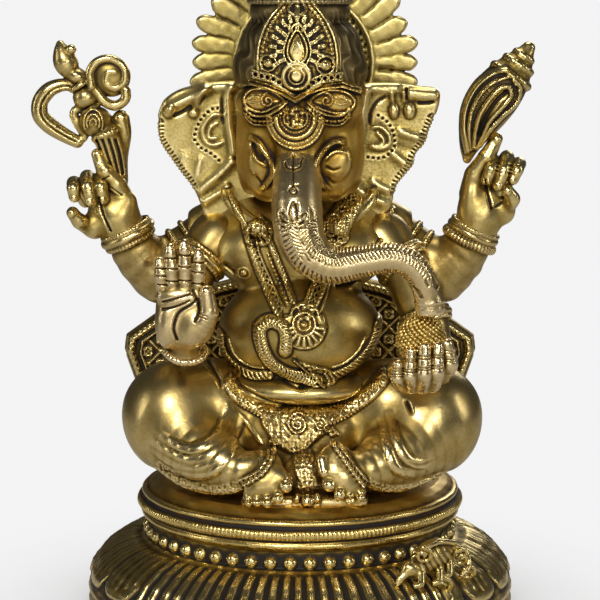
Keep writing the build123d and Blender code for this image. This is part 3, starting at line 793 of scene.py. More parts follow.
def belly(clay):
    """The pendant, the snake round the belly, the roped belly band and the rolls."""
    x, z = 2.0, 151.0
    clay.pad(arc(x, z - 1, 11, 11, 150, 390, 30), 1.2, 1)
    clay.cord(arc(x, z - 0.5, 10.4, 11.2, 185, 355, 40), 0.8, 1.6)
    for angle in range(190, 360, 20):
        clay.cord(spoke(x, z - 0.5, radians(angle), (6.2, 8.3, 9.8)), 1.35, 2.3)
    clay.circle(x, z, 5.4, 0.8, 2.4)
    clay.circle(x, z, 3.0, 0.6, 2.2)
    clay.boss(x, z, 1.6, 2.6)
    clay.cord([(-11, 152.5), (-5, 154), (-3, 158), (2, 160), (7, 158.5), (10, 153)], 0.8, 1.5)
    for angle in (60, 85, 110):
        clay.cord(spoke(x, z, radians(angle), (5.8, 9)), 0.7, 1.2)

    # the snake: a hooded head folded over the cord, and a scaled body that swings under the pendant
    back = smooth([
        (-7.2, 138), (-6.5, 143), (-7.5, 148.5), (-11, 151.5), (-16, 151.5), (-19.5, 147.5),
        (-18.4, 140), (-15.5, 133.5), (-11.5, 129), (-5.3, 125.6), (2, 124), (8, 122.4)])
    clay.cord(back, 3.4, 3.6)
    clay.hatch(back, 2.5, 1.55, 0.85, 0.2, 0.5)
    clay.groove(back[4:-20], 0.35, 0.5)
    clay.boss(-7.4, 137, 2.6, 3.4)
    clay.twist([(-22, 150), (-20.5, 141), (-18, 134.5)], 0.7, 1.6, 1.6)
    clay.cord(np.array([(-3, 133.5), (4, 126.5), (12, 119.5)]), 0.5, 3.9)
    fan = smooth([(-2, 133), (5, 131), (14, 128), (19, 122), (12, 119), (6, 125)], closed=True)
    clay.pad(fan, 1.0, 1)
    clay.grain(clay.within(fan, 0.8), 1.9, 0.9, 5)

    left = smooth([(-39.5, 142), (-39, 136), (-36, 130), (-31, 125.8), (-24, 123.8), (-15, 124.4)])
    right = smooth([(11, 123.6), (17, 124), (24.5, 127), (31.6, 133), (36.4, 140), (39, 148)])
    for band in (left, right):
        clay.twist(band, 2.6, 2.3, 2.7, 0.6)
    clay.cord([(-35, 141), (-32, 133), (-26, 128.6), (-18, 127.6)], 0.6, 0.9)
    clay.cord([(16, 128.4), (22, 130.5), (28, 135.5), (32, 142)], 0.6, 0.9)
    clay.groove([
        (-30, 118.6), (-15, 112), (-1.6, 108.6), (12, 108.8), (24, 111.5), (34, 119)], 1.0, 1.3)
    clay.groove([(-8, 121.5), (0, 118.8), (9, 121)], 0.7, 0.8)
    clay.hole(1, 119.5, 1.5, 1.6)


def leg(clay, side):
    """A folded leg: thigh out to the knee, and shin back in to the ankle."""
    knee = (-64, -19, 102) if side < 0 else (66, -20, 101)
    kx, ky, kz = knee
    clay.rope([
        (side * 20, -4, 98, 25), (side * 42, -14, 103, 25), (kx - side * 6, ky, kz + 1, 24)], blend=8)
    clay.ball((kx - side, ky, kz), (25, 26, 24.5), blend=6)
    clay.rope([
        (kx - side, ky - 5, kz - 8, 21), (side * 45, -44, 85, 15.5), (side * 31, -55, 81, 10.5),
        (side * 22, -58, 82, 9)], blend=7)


def foot(clay, ankle, toes):
    """A bare foot fanning out from the ankle to its toes, each with a nail, at (x, y, z, radius)."""
    for x, y, z, _ in toes:
        root = np.array((x, y + 4, z + 1.5))
        clay.rope([ankle, (root + ankle) / 2 - (0, 2, 0), root], [7, 5.4, 3.0], blend=2.5)
    for x, y, z, r in toes:
        clay.rope([(x, y + 3, z + 2.4, r), (x, y, z, r * 1.12)], blend=0.8)
        clay.groove(arc(x, z + 0.2, r * 0.6, r * 0.7, 20, 160, 10), 0.3, 0.5)
        clay.groove([(x - r * 0.7, z + r * 0.9), (x + r * 0.7, z + r * 0.9)], 0.3, 0.5)


def legs():
    """The lap: folded legs with the feet in the middle, on a flat underside."""
    clay = Clay((-97, -84, 65.6), (97, 33, 129), 0.6)
    clay.ball((0, -2, 95), (50, 29, 30))
    clay.ball((0, -27, 90), (30, 21, 23), blend=6)
    leg(clay, -1)
    leg(clay, 1)
    clay.ball((3, -48, 75), (13, 12, 13), blend=3)
    right_hem = [(-70, -34, 80), (-58, -46, 74.5), (-45, -54, 72.5), (-32, -61, 73.5), (-26, -62, 77)]
    left_hem = [(31, -61, 77), (38, -58, 73.6), (47, -53, 72.5), (58, -46, 74), (69, -36, 77)]
    clay.rope(right_hem, 3.1, blend=1.2)
    clay.rope(left_hem, 2.6, blend=1.2)
    right_toes = [
        (-6.6, -71, 77, 2.9), (-10.4, -73, 71.4, 2.5), (-15.5, -73.4, 69.6, 2.4), (-20.3, -73, 69.6, 1.9),
        (-24.4, -72, 69, 1.7)]
    left_toes = [
        (13.8, -71, 77.5, 2.9), (18.7, -73, 73.2, 2.4), (23.6, -73, 70.4, 2.0), (28.6, -71.5, 71.6, 1.9)]
    foot(clay, (-16.5, -60, 83), right_toes)
    foot(clay, (17, -60, 87), left_toes)
    clay.rope([(10.6, -66, 88, 3.4), (11.6, -69, 83.4, 3.0)], blend=1.2)
    clay.rope([(-25, -63.5, 67.4), (0, -65.5, 67.4), (29, -63.5, 67.6)], 3.4, blend=2.5)
    clay.ball((3.5, -69, 69.2), 2.6, blend=0.4)
    clay.ball((8.4, -69, 70.6), 1.8, blend=0.4)
    clay.ball((-1.6, -69, 70.6), 1.8, blend=0.4)
    clay.trim((0, 0, 66), (0, 0, -1))
    cloth(clay)
    hems(clay)
    hip_belt(clay)
    clay.cast("legs", LIMB, 7)


def cloth(clay):
    """The folds of the wrapped cloth."""
    folds = [smooth(fold) for fold in (  # on the figure's right knee
        [(-68, 99.4), (-61.2, 96.5), (-53.2, 94.4), (-45.1, 97.1), (-38.2, 102.4), (-33.6, 112)],
        [(-71.3, 95), (-63.9, 91.1), (-54.2, 88.6), (-45.1, 91.1), (-38.2, 96.9), (-32, 110)],
        [(-74.6, 94), (-66.7, 87.4), (-55.3, 84), (-45, 87), (-37, 93.9), (-30.8, 108)],
        [(-69, 86), (-57.6, 80.4), (-46.1, 81.6), (-38.1, 88.3), (-32.4, 96.4), (-29.6, 107)],
        [(-60, 78.6), (-47.3, 77.2), (-39.3, 81.4), (-33.5, 89), (-29.4, 98), (-28.4, 106)])]
    folds += [smooth(fold) for fold in (  # on the left knee
        [(44.4, 111.5), (46.5, 102.9), (50.4, 95), (57, 88.3), (63, 85.6)],
        [(41.8, 105.5), (44.4, 94), (49.1, 84), (54.6, 80.2), (63, 80)],
        [(38, 104), (39.2, 94.7), (41, 86.1), (45, 80.4), (51, 77)])]
    for fold, depth in zip(folds, (2.6, 2.0, 2.0, 2.0, 1.8, 4.2, 2.4, 2.2)):
        clay.groove(fold, 0.9, depth, 7)
    for first in (0, 1, 2, 3, 5, 6):  # a soft ridge half-way between neighbouring folds
        pair = folds[first:first + 2]
        count = min(len(fold) for fold in pair)
        upper, lower = (smooth(fold, len(fold) / count)[:count] for fold in pair)
        clay.cord((upper + lower) / 2, 2.6, 1.2, 12)
    clay.groove([(-49.6, 131), (-41.7, 123.7), (-37.1, 116), (-33.6, 111)], 0.9, 1.4, 4)
    clay.groove([(-33.6, 111), (-28.6, 106), (-22, 99), (-17, 92), (-15.4, 87)], 0.9, 1.4, 4)
    clay.cord([(-31, 106), (-24.4, 98.6), (-19.4, 91.6), (-18.6, 86), (-24, 81)], 1.2, 0.7, 6)
    clay.groove([(51.1, 113), (54.4, 106)], 0.9, 1.6, 4)
    clay.groove([(51, 86.4), (57.5, 83.6), (65.3, 84.8)], 0.8, 0.6, 6)
    clay.groove([(18.6, 100), (22.6, 92.6), (28.7, 84), (33, 78)], 0.8, 1.4, 4)


def hems(clay):
    """The granulated hems, the pleat between the feet and the anklets."""
    right_hem = [(-68, 80), (-57.6, 74), (-46.2, 71.6), (-38, 72.6), (-28, 76.4)]
    left_hem = [(31.4, 79), (36.7, 74.4), (45.8, 71.8), (56, 71), (68, 74.6)]
    clay.grain(clay.strip(right_hem, 3.4), 1.5, 0.8, 31)
    clay.grain(clay.strip(left_hem, 2.6), 1.5, 0.8, 32)
    between = [(-4.6, 66), (10.6, 66), (10, 76), (8.6, 82), (5, 92), (-5, 92), (-3.4, 82), (-1.6, 76)]
    clay.grain(clay.within(between, 1), 1.7, 0.9, 33)

    right_anklet = smooth([(-12.6, 92), (-14.4, 87.6), (-18.4, 83), (-27, 77.4)])
    left_anklet = smooth([(14, 98), (20.8, 89.8), (25.2, 84), (30.4, 77)])
    for anklet, inwards in ((right_anklet, -1.7), (left_anklet, 1.7)):
        clay.beads(anklet, 1.5, 2.7, 2.1)
        clay.cord(anklet + (inwards, 1.2), 0.6, 1.2)


def hip_belt(clay):
    """A granulated belt with rosettes, and the apron under it."""
    apron = [(-19, 109), (19.5, 109), (13, 97), (4, 90), (-5, 87), (-13, 91), (-19, 101)]
    clay.pad(apron, 1.0, 1.5)
    clay.grain(clay.within(apron, 1), 1.9, 0.8, 7)
    belt = smooth([
        (-34, 119), (-29, 112.5), (-18, 107), (-1.4, 103.6), (19, 105.6), (31.4, 112.5), (40.7, 122)])
    clay.cord(belt, 3.6, 1.7)
    clay.grain(clay.strip(belt, 3.4), 1.5, 0.7, 8)
    clay.beads(belt + (0, 3.6), 0.8, 1.8, 1.7)
    clay.beads(belt - (0, 3.6), 0.8, 1.8, 1.7)
    for x, z in belt[2::6]:
        clay.circle(x, z, 1.9, 0.6, 2.4)
        clay.boss(x, z, 0.9, 2.4)
    clay.boss(-1, 102, 6, 1.9)
    clay.cord(spiral(-1, 102, 5.2, 2.2, 60), 0.75, 3.1)
    clay.cord(spiral(10, 101.4, 3.4, 1.6, 120, -1), 0.65, 2.6)
    clay.beads(arc(-1, 102, 6.6, 6.6, 0, 360, 40), 0.7, 1.7, 1.9)
    for row, z in enumerate((97.5, 94.5, 91.5)):
        for step in range(-3 + row, 4 - row):
            clay.boss(-2 + 3.4 * step, z - 0.2 * step ** 2, 1.0, 1.5)


# ---- the head -----------------------------------------------------------------------------------
def head():
    """The elephant head, from the throat up to where the crown covers it."""
    clay = Clay((-42, -62, 204), (42, 30, 292), 0.42)
    clay.ball((0, -13, 247), (30, 30, 38))
    for side in (-1, 1):
        clay.ball((side * 15, -24, 226), (13.5, 15, 19), blend=6)
        clay.ball((side * 16, -31, 256), (15, 13, 10), blend=5)
        clay.ball((side * 25, -16, 230), (6, 12, 20), blend=5)
        clay.ball((side * 19.5, -47, 229), (7.5, 9.5, 11), blend=3, cut=True)
        clay.ball((side * 18.5, -37.5, 227.5), (6, 3.4, 8), (0, side * 12, 0), blend=2.5)
    clay.ball((-2, -43, 247), (14, 9.5, 12), blend=4)
    clay.rope([(0, -40, 238, 10), (-1, -42, 226, 11), (-1, -44, 214, 11)], blend=5)
    eyes(clay)
    forehead(clay)
    clay.cast("head", AMBER, 5)


def eyes(clay):
    """Narrow slanting eyes, each under a long brow that curls down beside the trunk."""
    clay.cord([
        (-25, 239.6), (-20.4, 237.6), (-16.6, 232.6), (-13.6, 227.8), (-13.2, 222.6), (-16, 217.4),
        (-18.6, 213.6)], 1.5, 2.3, 6)
    clay.cord([(-23, 233.4), (-20.6, 229), (-17, 226.8), (-15, 226.2)], 0.8, 0.9, 3)
    clay.groove([(-23, 237), (-20.2, 232), (-16.6, 228.6)], 0.9, 2.0, 2)
    clay.groove([(-22, 222.6), (-19.4, 219), (-18, 216)], 0.9, 0.6, 3)

    clay.cord([
        (22.4, 237.2), (16.8, 237.6), (11.7, 234), (8.6, 230), (7.6, 225.2), (10.2, 219), (14, 213.6)],
        1.5, 2.1, 6)
    clay.cord([(11.6, 228.6), (15, 232.2), (19.6, 233.2), (22, 231.6)], 0.8, 0.9, 3)
    clay.groove([(12.2, 231), (15.6, 234.6), (20.4, 235.4)], 0.8, 1.2, 3)
    clay.groove([(11.8, 226.4), (15.6, 224.2), (20, 225.6)], 0.7, 0.6, 3)
    clay.groove([(12.6, 221), (16, 217.8), (18.4, 218)], 0.9, 0.5, 3)


def forehead(clay):
    """The diadem: two almond lobes under a double band, and a pendant of rings between them."""
    almonds = ([(-26.6, 258.4), (-23.2, 262.4), (-17, 262.8), (-11.6, 260.8), (-7.6, 257.4), (-11.6, 255),
                (-18.2, 252), (-24.8, 254)],
               [(4.9, 257.3), (10, 261), (16.2, 262.4), (22.8, 260.8), (26.2, 256.6), (23, 252.2),
                (16.2, 251.6), (9.6, 254)])
    for side, almond in zip((-1, 1), almonds):
        lobe = smooth(almond, closed=True)
        clay.pad(lobe, 1.1, 2.2)
        clay.cord(loop(lobe), 0.7, 1.6)
        x, z = (-15.2, 257.6) if side < 0 else (12.6, 257.6)
        clay.cord(spiral(x, z, 3.4, 1.4, 100, -side), 0.55, 2.2)
        for lift in (-1.8, 0.2, 2.2):
            clay.cord(smooth([(x + side * 4.2, z + lift * 0.7), (x + side * 7.2, z + lift),
                              (x + side * 10, z + lift * 0.3 - 0.4)]), 0.5, 1.7)
        under = smooth([
            (x - side * 9, z - 0.5), (x - side * 5.4, z - 3.6), (x + side * 0.6, z - 7),
            (x + side * 7, z - 7.4), (x + side * 11, z - 4)])
        clay.cord(under, 0.75, 2.1)
        clay.beads(under - (0, 2.6), 1.0, 1.9, 1.7)
        clay.cord(under - (0, 4.6), 0.5, 1.0)
    band = np.array([
        (-30, 264), (-22.8, 265), (-15.6, 263.4), (-8.4, 260.6), (-2.2, 257.4), (3.4, 260.6),
        (11, 263.2), (20, 264), (29, 261)])
    for lift, width, height in ((0, 0.85, 2.7), (1.7, 0.6, 2.3)):
        clay.cord(band + (0, lift), width, height)

    x, z = -2.2, 249.0
    swag = arc(x, z, 13.4, 13.6, 178, 362, 50)
    middle = np.array((x, z + 2))
    clay.pad(middle + (swag - middle) * 1.04, 1.0, 1.2)
    clay.cord(middle + (swag - middle) * 1.0, 0.5, 1.5)
    clay.twist(middle + (swag - middle) * 0.87, 1.1, 1.2, 1.7, 0)
    clay.cord(middle + (swag - middle) * 0.68, 1.35, 2.4)
    clay.beads(middle + (swag - middle) * 0.52, 0.6, 1.3, 1.7)
    clay.cord(arc(x + 0.2, z + 0.8, 5.6, 4.8, 150, 400, 40), 0.55, 2.4)
    clay.grain(clay.within(arc(x, z + 1, 6.4, 5.4, 0, 345), 1), 2.3, 1.5, 21)
    clay.boss(x + 0.4, 254.4, 1.4, 2.2)
    for side in (-1, 1):
        clay.beads([
            (x + side * 12.6, 250), (x + side * 10, 252.6), (x + side * 6, 254.6)], 0.8, 1.7, 1.8)


def crown():
    """A tall tiered crown, almost black with age, under loose wavy ribbing."""
    clay = Clay((-36, -48, 254), (36, 24, 337), 0.55)
    clay.ball((0, -12, 271), (32.4, 31.4, 24))
    for z, r, h in ((284, 29, 15), (299, 24.5, 11), (310, 18.5, 8), (319, 12.5, 7), (326, 7, 5)):
        clay.ball((0, -12, z), (r, r, h), blend=3)
    clay.ball((0, -12, 331), (3.4, 3.4, 4.6), blend=1)
    clay.trim((0, 0, 258), (0, 0, -1))
    x, y, z = (a.reshape([-1 if i == j else 1 for j in range(3)]) for i, a in enumerate(clay.axes))
    turn = np.arctan2(x, -(y + 12))
    waves = turn * 30 / tau + 0.5 * np.sin(z * 0.16 + 3 * turn) + 0.25 * np.sin(7 * turn + 0.4 * z)
    lines = np.abs((waves % 1) - 0.5) * 2
    body = (np.clip((z - 260) / 4, 0, 1) * np.clip((300 - z) / 6, 0, 1)).astype(np.float32)
    clay.field -= 0.5 * (np.clip(lines, 0, 1) ** 2).astype(np.float32) * body
    for height, r in ((303.5, 24.4), (313.5, 17.4), (322, 10.2)):
        clay.ring((0, -12, height), (0, 0, 1), r, 1.5, 0.6, int(r * 2.6), 0.35)
    clay.cast("crown", DARK)


def crown_plate():
    """The pointed front plate, curved round the dome, set with bosses, a drop jewel and leaves."""
    clay = Clay((-27, -54, 258), (27, -22, 313), 0.38)
    clay.ball((0, -12, 273), (34.5, 34.5, 24))
    clay.ball((0, -12, 286), (31, 32, 26), blend=6)
    clay.ball((0, -12, 271), (31.5, 31.5, 22), cut=True)
    clay.ball((0, -12, 285), (27.5, 28.5, 23), cut=True)
    edge = smooth([
        (-19, 262.5), (-21.5, 270), (-21.8, 279), (-19, 289), (-13.5, 298.5), (-7, 305.5), (-1, 310.6),
        (5, 305.5), (11.5, 298.5), (17, 289), (19.5, 279), (19, 270), (16.5, 262.5), (8, 261.5),
        (-1.4, 258.6), (-10, 261.5)], closed=True)
    clay.field = np.maximum(clay.field, clay.gap(edge, 40)[:, None, :])
    clay.trim((0, -27, 0), (0, 1, 0))
    plate_bands(clay)
    plate_jewels(clay)
    clay.grain(clay.within(edge, 3) * (clay.map < 0.4), 1.5, 0.45, 9)
    clay.cast("crown_plate", BRASS, 4)


def plate_bands(clay):
    """The beaded rim of the front plate, and the band of rings along its foot."""
    for side, rim in ((-1, [(-17.6, 268), (-18.6, 275), (-17.4, 285), (-13.2, 294.5), (-7.4, 301.5)]),
                      (1, [(15.2, 267), (16, 275), (14.8, 285), (10.6, 294.5), (5, 301.5)])):
        rim = smooth(rim)
        clay.cord(rim + (side * 1.7, 0.8), 0.8, 1.2)
        clay.beads(rim - (side * 0.4, 0), 1.0, 2.1, 1.5)
    for half in ([(-27, 269.8), (-24.3, 270.1), (-18.2, 269), (-13.5, 268), (-10, 266.2), (-6.6, 264)],
                 [(3.8, 264), (6.2, 266), (9.3, 267.5), (12.1, 268), (19.3, 268.6), (25, 268)]):
        line = smooth(half)
        clay.cord(line + (0, 1.8), 0.5, 1.7)
        clay.cord(line - (0, 1.8), 0.6, 1.9)
        for px, pz in line[::3]:
            clay.circle(px, pz, 1.25, 0.4, 1.7)
            clay.hole(px, pz, 0.75, 1.4)
    clay.cord(np.array([(-12.5, 265), (-7.6, 262.6), (-1.3, 258.8), (5, 262.6), (9.6, 265)]), 1.1, 2.0)


def plate_jewels(clay):
    """The front plate's round bosses, and its drop jewel in two rows of leaves."""
    x, z = -1.7, 269.0
    clay.pad(arc(x, z, 7.2, 7.2, 0, 350), 1.4, 2)
    clay.circle(x, z, 6.2, 1.2, 3.2)
    clay.circle(x, z, 3.7, 0.6, 2.6)
    clay.boss(x, z, 2.7, 4.2)
    for px, pz, r in ((-15.1, 275.2, 2.4), (12.1, 274.2, 2.8)):
        clay.circle(px, pz, r + 1.4, 0.6, 2.0)
        clay.boss(px, pz, r, 3.2)
    cx = -1.3
    drop = smooth([
        (cx - 4.2, 280.5), (cx - 2.6, 276.8), (cx, 275.4), (cx + 2.6, 276.8), (cx + 4.2, 280.5),
        (cx + 3, 285.6), (cx, 289.6), (cx - 3, 285.6)], closed=True)
    middle = np.array((cx, 281.2))
    for size, width, height in ((1.12, 0.7, 2.6), (1.52, 0.7, 2.2)):
        ring = middle + (drop - middle) * size
        clay.cord(loop(ring), width, height)
    clay.map += 3.6 * np.sqrt(clay.within(drop, 3.4))
    for count, reach_x, reach_z in ((11, 8.6, 11), (15, 11.8, 15)):
        for i in range(count):
            a = radians(-28 + i * 236 / (count - 1))
            leaf = np.array((cx + reach_x * cos(a), 281.5 + reach_z * sin(a)))
            out = np.array((cos(a), sin(a)))
            clay.cord([leaf - 1.2 * out, leaf + 0.8 * out], 1.35, 2.2)
            clay.groove([leaf - 1.6 * out, leaf + 0.2 * out], 0.4, 0.8)
    for side in (-1, 1):
        clay.cord([(cx + side * 1.2, 297), (cx + side * 4.2, 300), (cx + side * 1.6, 304.6)], 0.8, 1.9)
    clay.cord([(cx, 297), (cx, 301)], 1.6, 2.4)
    clay.boss(cx, 305.6, 1.5, 2.0)


def trunk():
    """The trunk, down the chest and out to its tip over the sweet."""
    clay = Clay((-20, -80, 150), (72, -30, 252), 0.42)
    path = np.array([
        (0, -28, 242, 8.0), (-0.8, -36.5, 234.5, 9.4), (-1.4, -48, 221, 11.3), (-1.4, -57.5, 207, 12.0),
        (0, -62, 196, 11.4), (5, -63, 186.5, 10.4), (15, -64, 181.6, 9.0), (29, -63.5, 183.4, 7.9),
        (42, -62.5, 185, 7.4), (52, -61.5, 181.6, 7.0), (58.6, -60, 172.5, 6.5), (61.4, -58, 161, 6.2)])
    clay.rope(path)
    clay.rope([(61.2, -58.2, 163.5), (61.5, -57.8, 159.6)], 6.9, blend=0.8)
    clay.trim((61.5, -58, 157.6), (0.1, 0, -1))
    clay.ring((61.3, -58, 163.4), (0.1, 0, -1), 6.4, 0.9, 0.5)

    engraved(clay)
    line = smooth(path[3:, [0, 2]])
    clay.hatch(line[4:-14], 8.4, 1.75, 0.6, 4.6, -0.25)
    clay.hatch(line[16:-14], 4.0, 1.75, 0.5, 0.7, 0.35, 1)
    clay.hatch(line[4:20], 4.2, 1.75, 0.45, 0.4, 0.7)
    clay.grain(clay.within([(54, 156), (69, 156), (69, 162), (54, 162)], 1), 1.1, 0.35, 11)
    clay.cast("trunk", ROSY, 9)


def engraved(clay):
    """A three-pronged spear over a small flame of leaves, cut into the front of the trunk."""
    x = -3.2
    clay.groove([(x, 232.6), (x, 218.5)], 0.42, 1.1)
    clay.groove([
        (x - 3.6, 229), (x - 3.2, 227), (x, 226), (x + 3.2, 227.2), (x + 3.8, 229.8), (x + 4.6, 231)],
        0.42, 1.1)
    clay.groove(arc(x, 216.8, 1.7, 1.7, 0, 360, 20), 0.38, 0.9)
    clay.groove(smooth([(x + 0.5, 219), (x + 2.0, 219.4)]), 0.35, 0.6)
    flame = smooth([(x, 203.2), (x - 1.9, 206.6), (x, 212), (x + 1.9, 206.6)], closed=True)
    clay.groove(loop(flame), 0.38, 0.9)
    for side in (-1, 1):
        leaf = smooth([
            (x + side * 0.8, 202.4), (x + side * 2.8, 205), (x + side * 6.2, 207),
            (x + side * 5.0, 203.4)], closed=True)
        clay.groove(loop(leaf), 0.36, 0.8)
        leaf = smooth([
            (x + side * 1.0, 200.4), (x + side * 4, 202.6), (x + side * 7.6, 203.4),
            (x + side * 5.0, 200.6)], closed=True)
        clay.groove(loop(leaf), 0.34, 0.7)


# ---- ears, halo and cushion ---------------------------------------------------------------------
HALO_X, HALO_Z, HALO_R, RAYS = 2.0, 272.0, 58.0, 32
HALO_FRONT, HALO_BACK = 24.0, 29.0


def ear_mark(clay, outer, inner, holes):
    """A spiral of two soft ridges inside an arc of drilled holes."""
    clay.swell(outer, 1.1, 1.1, 3)
    clay.swell(inner, 1.0, 0.9, 2)
    for x, z in smooth(holes, 2.6):
        clay.swell(dot(x, z), 1.3, 0.6, 0)
        clay.hole(x, z, 0.62, 1.6)


def right_ear():
    """The ear on the viewer's left, with a rolled top edge, a notched rim and flowing folds."""
    clay = Clay((-74, -15, 193), (-18, 0, 268), 0.42)
    edge = smooth([
        (-22, 262), (-30, 263.8), (-40, 263.8), (-50, 262.8), (-60, 260), (-67, 254.5), (-69.8, 246),
        (-68.8, 235.5), (-63, 226), (-57.5, 218.6), (-51.5, 210), (-48.5, 203), (-46, 197.5),
        (-34, 197), (-22, 204), (-22, 232)], 1, closed=True)
    clay.slab(edge, -9.8, -4.6, 1.6)
    clay.swell([(-28, 263), (-39, 262), (-45.4, 261), (-48.4, 257.8), (-50, 251)], 2.2, 1.5)
    clay.swell([(-66.4, 250.6), (-57.7, 254.6), (-50.8, 258), (-43, 262.4)], 2.9, 2.8)
    clay.groove([(-62.6, 247.6), (-58, 249.6), (-52.6, 252.8)], 1.0, 1.5, 2)
    clay.ball((-64.3, -10.4, 249.2), (2.6, 2.0, 2.4), blend=1)
    clay.ball((-52, -10.2, 249), (2.3, 1.6, 2.2), blend=1)
    clay.groove([(-46, 258.6), (-48, 255), (-49.6, 251.6)], 0.9, 0.8, 3)
    clay.swell([(-31, 263), (-35, 259), (-35, 251), (-34.6, 243), (-33.4, 236), (-32.6, 227)], 2.1, 2.0)
    clay.groove([(-38.4, 258), (-38.2, 250), (-37.6, 243)], 0.8, 0.9, 5)
    clay.swell([(-29, 252), (-28.6, 240), (-29.6, 228)], 1.5, 1.1)
    clay.swell([(-32, 227), (-39.3, 219.4), (-45.8, 214), (-51, 209.4)], 2.5, 2.2, 2)
    clay.swell([(-34, 214), (-41.5, 209), (-49, 204.6)], 2.0, 1.9, 2)
    clay.swell([(-47.8, 229.6), (-50, 222.2), (-50.4, 215)], 2.0, 0.8, 5)
    clay.swell([(-57, 232), (-56.6, 224), (-54.6, 217)], 2.6, 0.7, 6)
    outer = [(-36, 247.7), (-42.3, 248.3), (-47.2, 242.4), (-46.7, 236), (-42.4, 233.4), (-36.6, 235.5)]
    inner = [(-39.2, 245.1), (-44, 241.9), (-44.5, 237.1), (-39.7, 237.1)]
    holes = [
        (-40.2, 251.5), (-43.4, 250.9), (-47.9, 246.7), (-50.8, 241.4), (-51.5, 235.8), (-47.5, 231.2),
        (-45.4, 230.4), (-41.4, 227.5), (-39.8, 225.9)]
    ear_mark(clay, outer, inner, holes)
    clay.hatch([(-69, 244.6), (-68.3, 236), (-62.8, 227.4), (-57.4, 219.8), (-52, 212)], 2.2, 1.9, 1.1)
    clay.grain(clay.within(edge, 3), 1.3, 0.12, 41)
    clay.cast("right_ear", EAR, 3.5)


def left_ear():
    """The ear on the viewer's right: a rolled top with curled knobs, and folds that fan from the root."""
    clay = Clay((18, -15, 193), (74, 0, 268), 0.42)
    edge = smooth([
        (22, 262), (31, 262.8), (40, 263.6), (50, 263.2), (60, 262), (66.4, 261), (68.4, 256),
        (66.8, 249), (63.4, 240.6), (61.6, 234.6), (57, 228.6), (55.4, 223), (48.4, 214.4), (46.6, 209),
        (42.6, 200), (32, 198), (22, 205), (22, 232)], 1, closed=True)
    clay.slab(edge, -9.8, -4.6, 1.6)
    clay.swell([(28, 262), (34, 261.6), (42.4, 260.6), (50, 261.6)], 2.4, 1.5)
    clay.rope([(53.6, -8.6, 258.4, 3.2), (59, -9.2, 258, 3.2), (65.4, -8.8, 257.8, 3.0)], blend=1)
    clay.groove([(52, 262), (52, 255)], 0.7, 1.4, 2)
    clay.groove([(57, 254.2), (61, 254), (66, 254.6)], 0.8, 1.2, 2)
    clay.ball((45.9, -9.6, 250.2), (2.5, 2.6, 4.0), blend=0.4)
    clay.ball((53.6, -9.6, 250.2), (2.9, 2.8, 4.1), blend=0.4)
    for x in (44.6, 50.4):
        clay.swell([(x, 260), (x + 0.6, 254)], 1.0, 1.2, 2)
    clay.groove([(42.4, 257.6), (37.4, 254.4), (34.5, 249), (34, 243)], 0.9, 1.2, 4)
    clay.swell([
        (33, 263), (31.4, 254), (29.8, 243.5), (27.7, 230), (26, 219.5), (29, 211.5), (37.4, 206.6),
        (44.4, 204.5)], 2.4, 1.9)
    for fold in ([(46.8, 241), (53, 238.6), (61, 236)], [(44, 230.6), (49, 226.4), (54.4, 222)],
                 [(34, 216.6), (39.6, 213), (46, 210)]):
        clay.swell(fold, 2.2, 1.5, 4)
    clay.groove([(46.8, 234.6), (52.4, 232), (59, 229.6)], 1.6, 0.7, 5)
    outer = [(34, 241.9), (39.3, 242.4), (43.6, 238.2), (43.6, 233.9), (39.4, 231.8), (33, 232.8)]
    inner = [(37.2, 240.3), (41, 236), (39.4, 233.4), (34.1, 233.9)]
    holes = [
        (38.2, 248), (42.8, 244.6), (45.5, 240), (46.5, 233.9), (45.3, 231), (42.6, 228.3), (39.2, 227),
        (33.3, 227.5)]
    ear_mark(clay, outer, inner, holes)
    clay.hatch([
        (64.6, 246.7), (61.8, 240), (59.4, 234), (55.6, 228), (53, 222.2), (48, 216), (46.4, 209.8)],
        2.2, 1.8, 1.1)
    clay.grain(clay.within(edge, 3), 1.3, 0.16, 42)
    clay.cast("left_ear", EAR, 3.5)


def halo():
    """A flat sunburst of rounded rays behind the head, on a tang screwed to the shoulders."""
    clay = Clay((-60, 17, 164), (64, 33, 333), 0.5)
    rim = []
    for i in range(RAYS):
        middle = i * tau / RAYS + 0.02 * sin(5.1 * i)
        reach = HALO_R - 1.6 + 1.3 * sin(2.3 * i)
        for turn, r in ((-0.5, 50.5), (-0.27, reach - 2.2), (0, reach), (0.27, reach - 2.2)):
            rim.extend(spoke(HALO_X, HALO_Z, middle + turn * tau / RAYS, (r,)))
    clay.slab(smooth(rim, 0.8, closed=True), HALO_FRONT, HALO_BACK, 1.1)
    tang = np.array([(-12, 168), (12, 168), (12, 225), (-12, 225)], float)
    clay.slab(tang, HALO_FRONT, HALO_BACK, 1.2)
    for i in range(RAYS):
        a = i * tau / RAYS + 0.02 * sin(5.1 * i)
        between = a + 0.5 * tau / RAYS
        tip = HALO_R - 4.6 + 1.3 * sin(2.3 * i)
        clay.cord(smooth(spoke(HALO_X, HALO_Z, a, (36, 44, tip))), 5.0, 1.3)
        clay.groove(spoke(HALO_X, HALO_Z, between, (38.5, 41, 44)), 1.3, 1.1)
        clay.groove(spoke(HALO_X, HALO_Z, between, (44, 51.5)), 0.6, 0.9)
    clay.cord(arc(HALO_X, HALO_Z, 34.5, 34.5, 0, 360, 90), 1.8, 1.8)
    clay.beads(arc(HALO_X, HALO_Z, 30.5, 30.5, 0, 360, 90), 1.5, 3.2, 1.4)
    clay.cord(arc(HALO_X, HALO_Z, 26.5, 26.5, 0, 360, 90), 1.0, 1.2)
    clay.map += 0.08 * np.sin(0.9 * clay.x + 1.7) * np.sin(0.8 * clay.z)
    clay.cast("halo", HALO, 3)


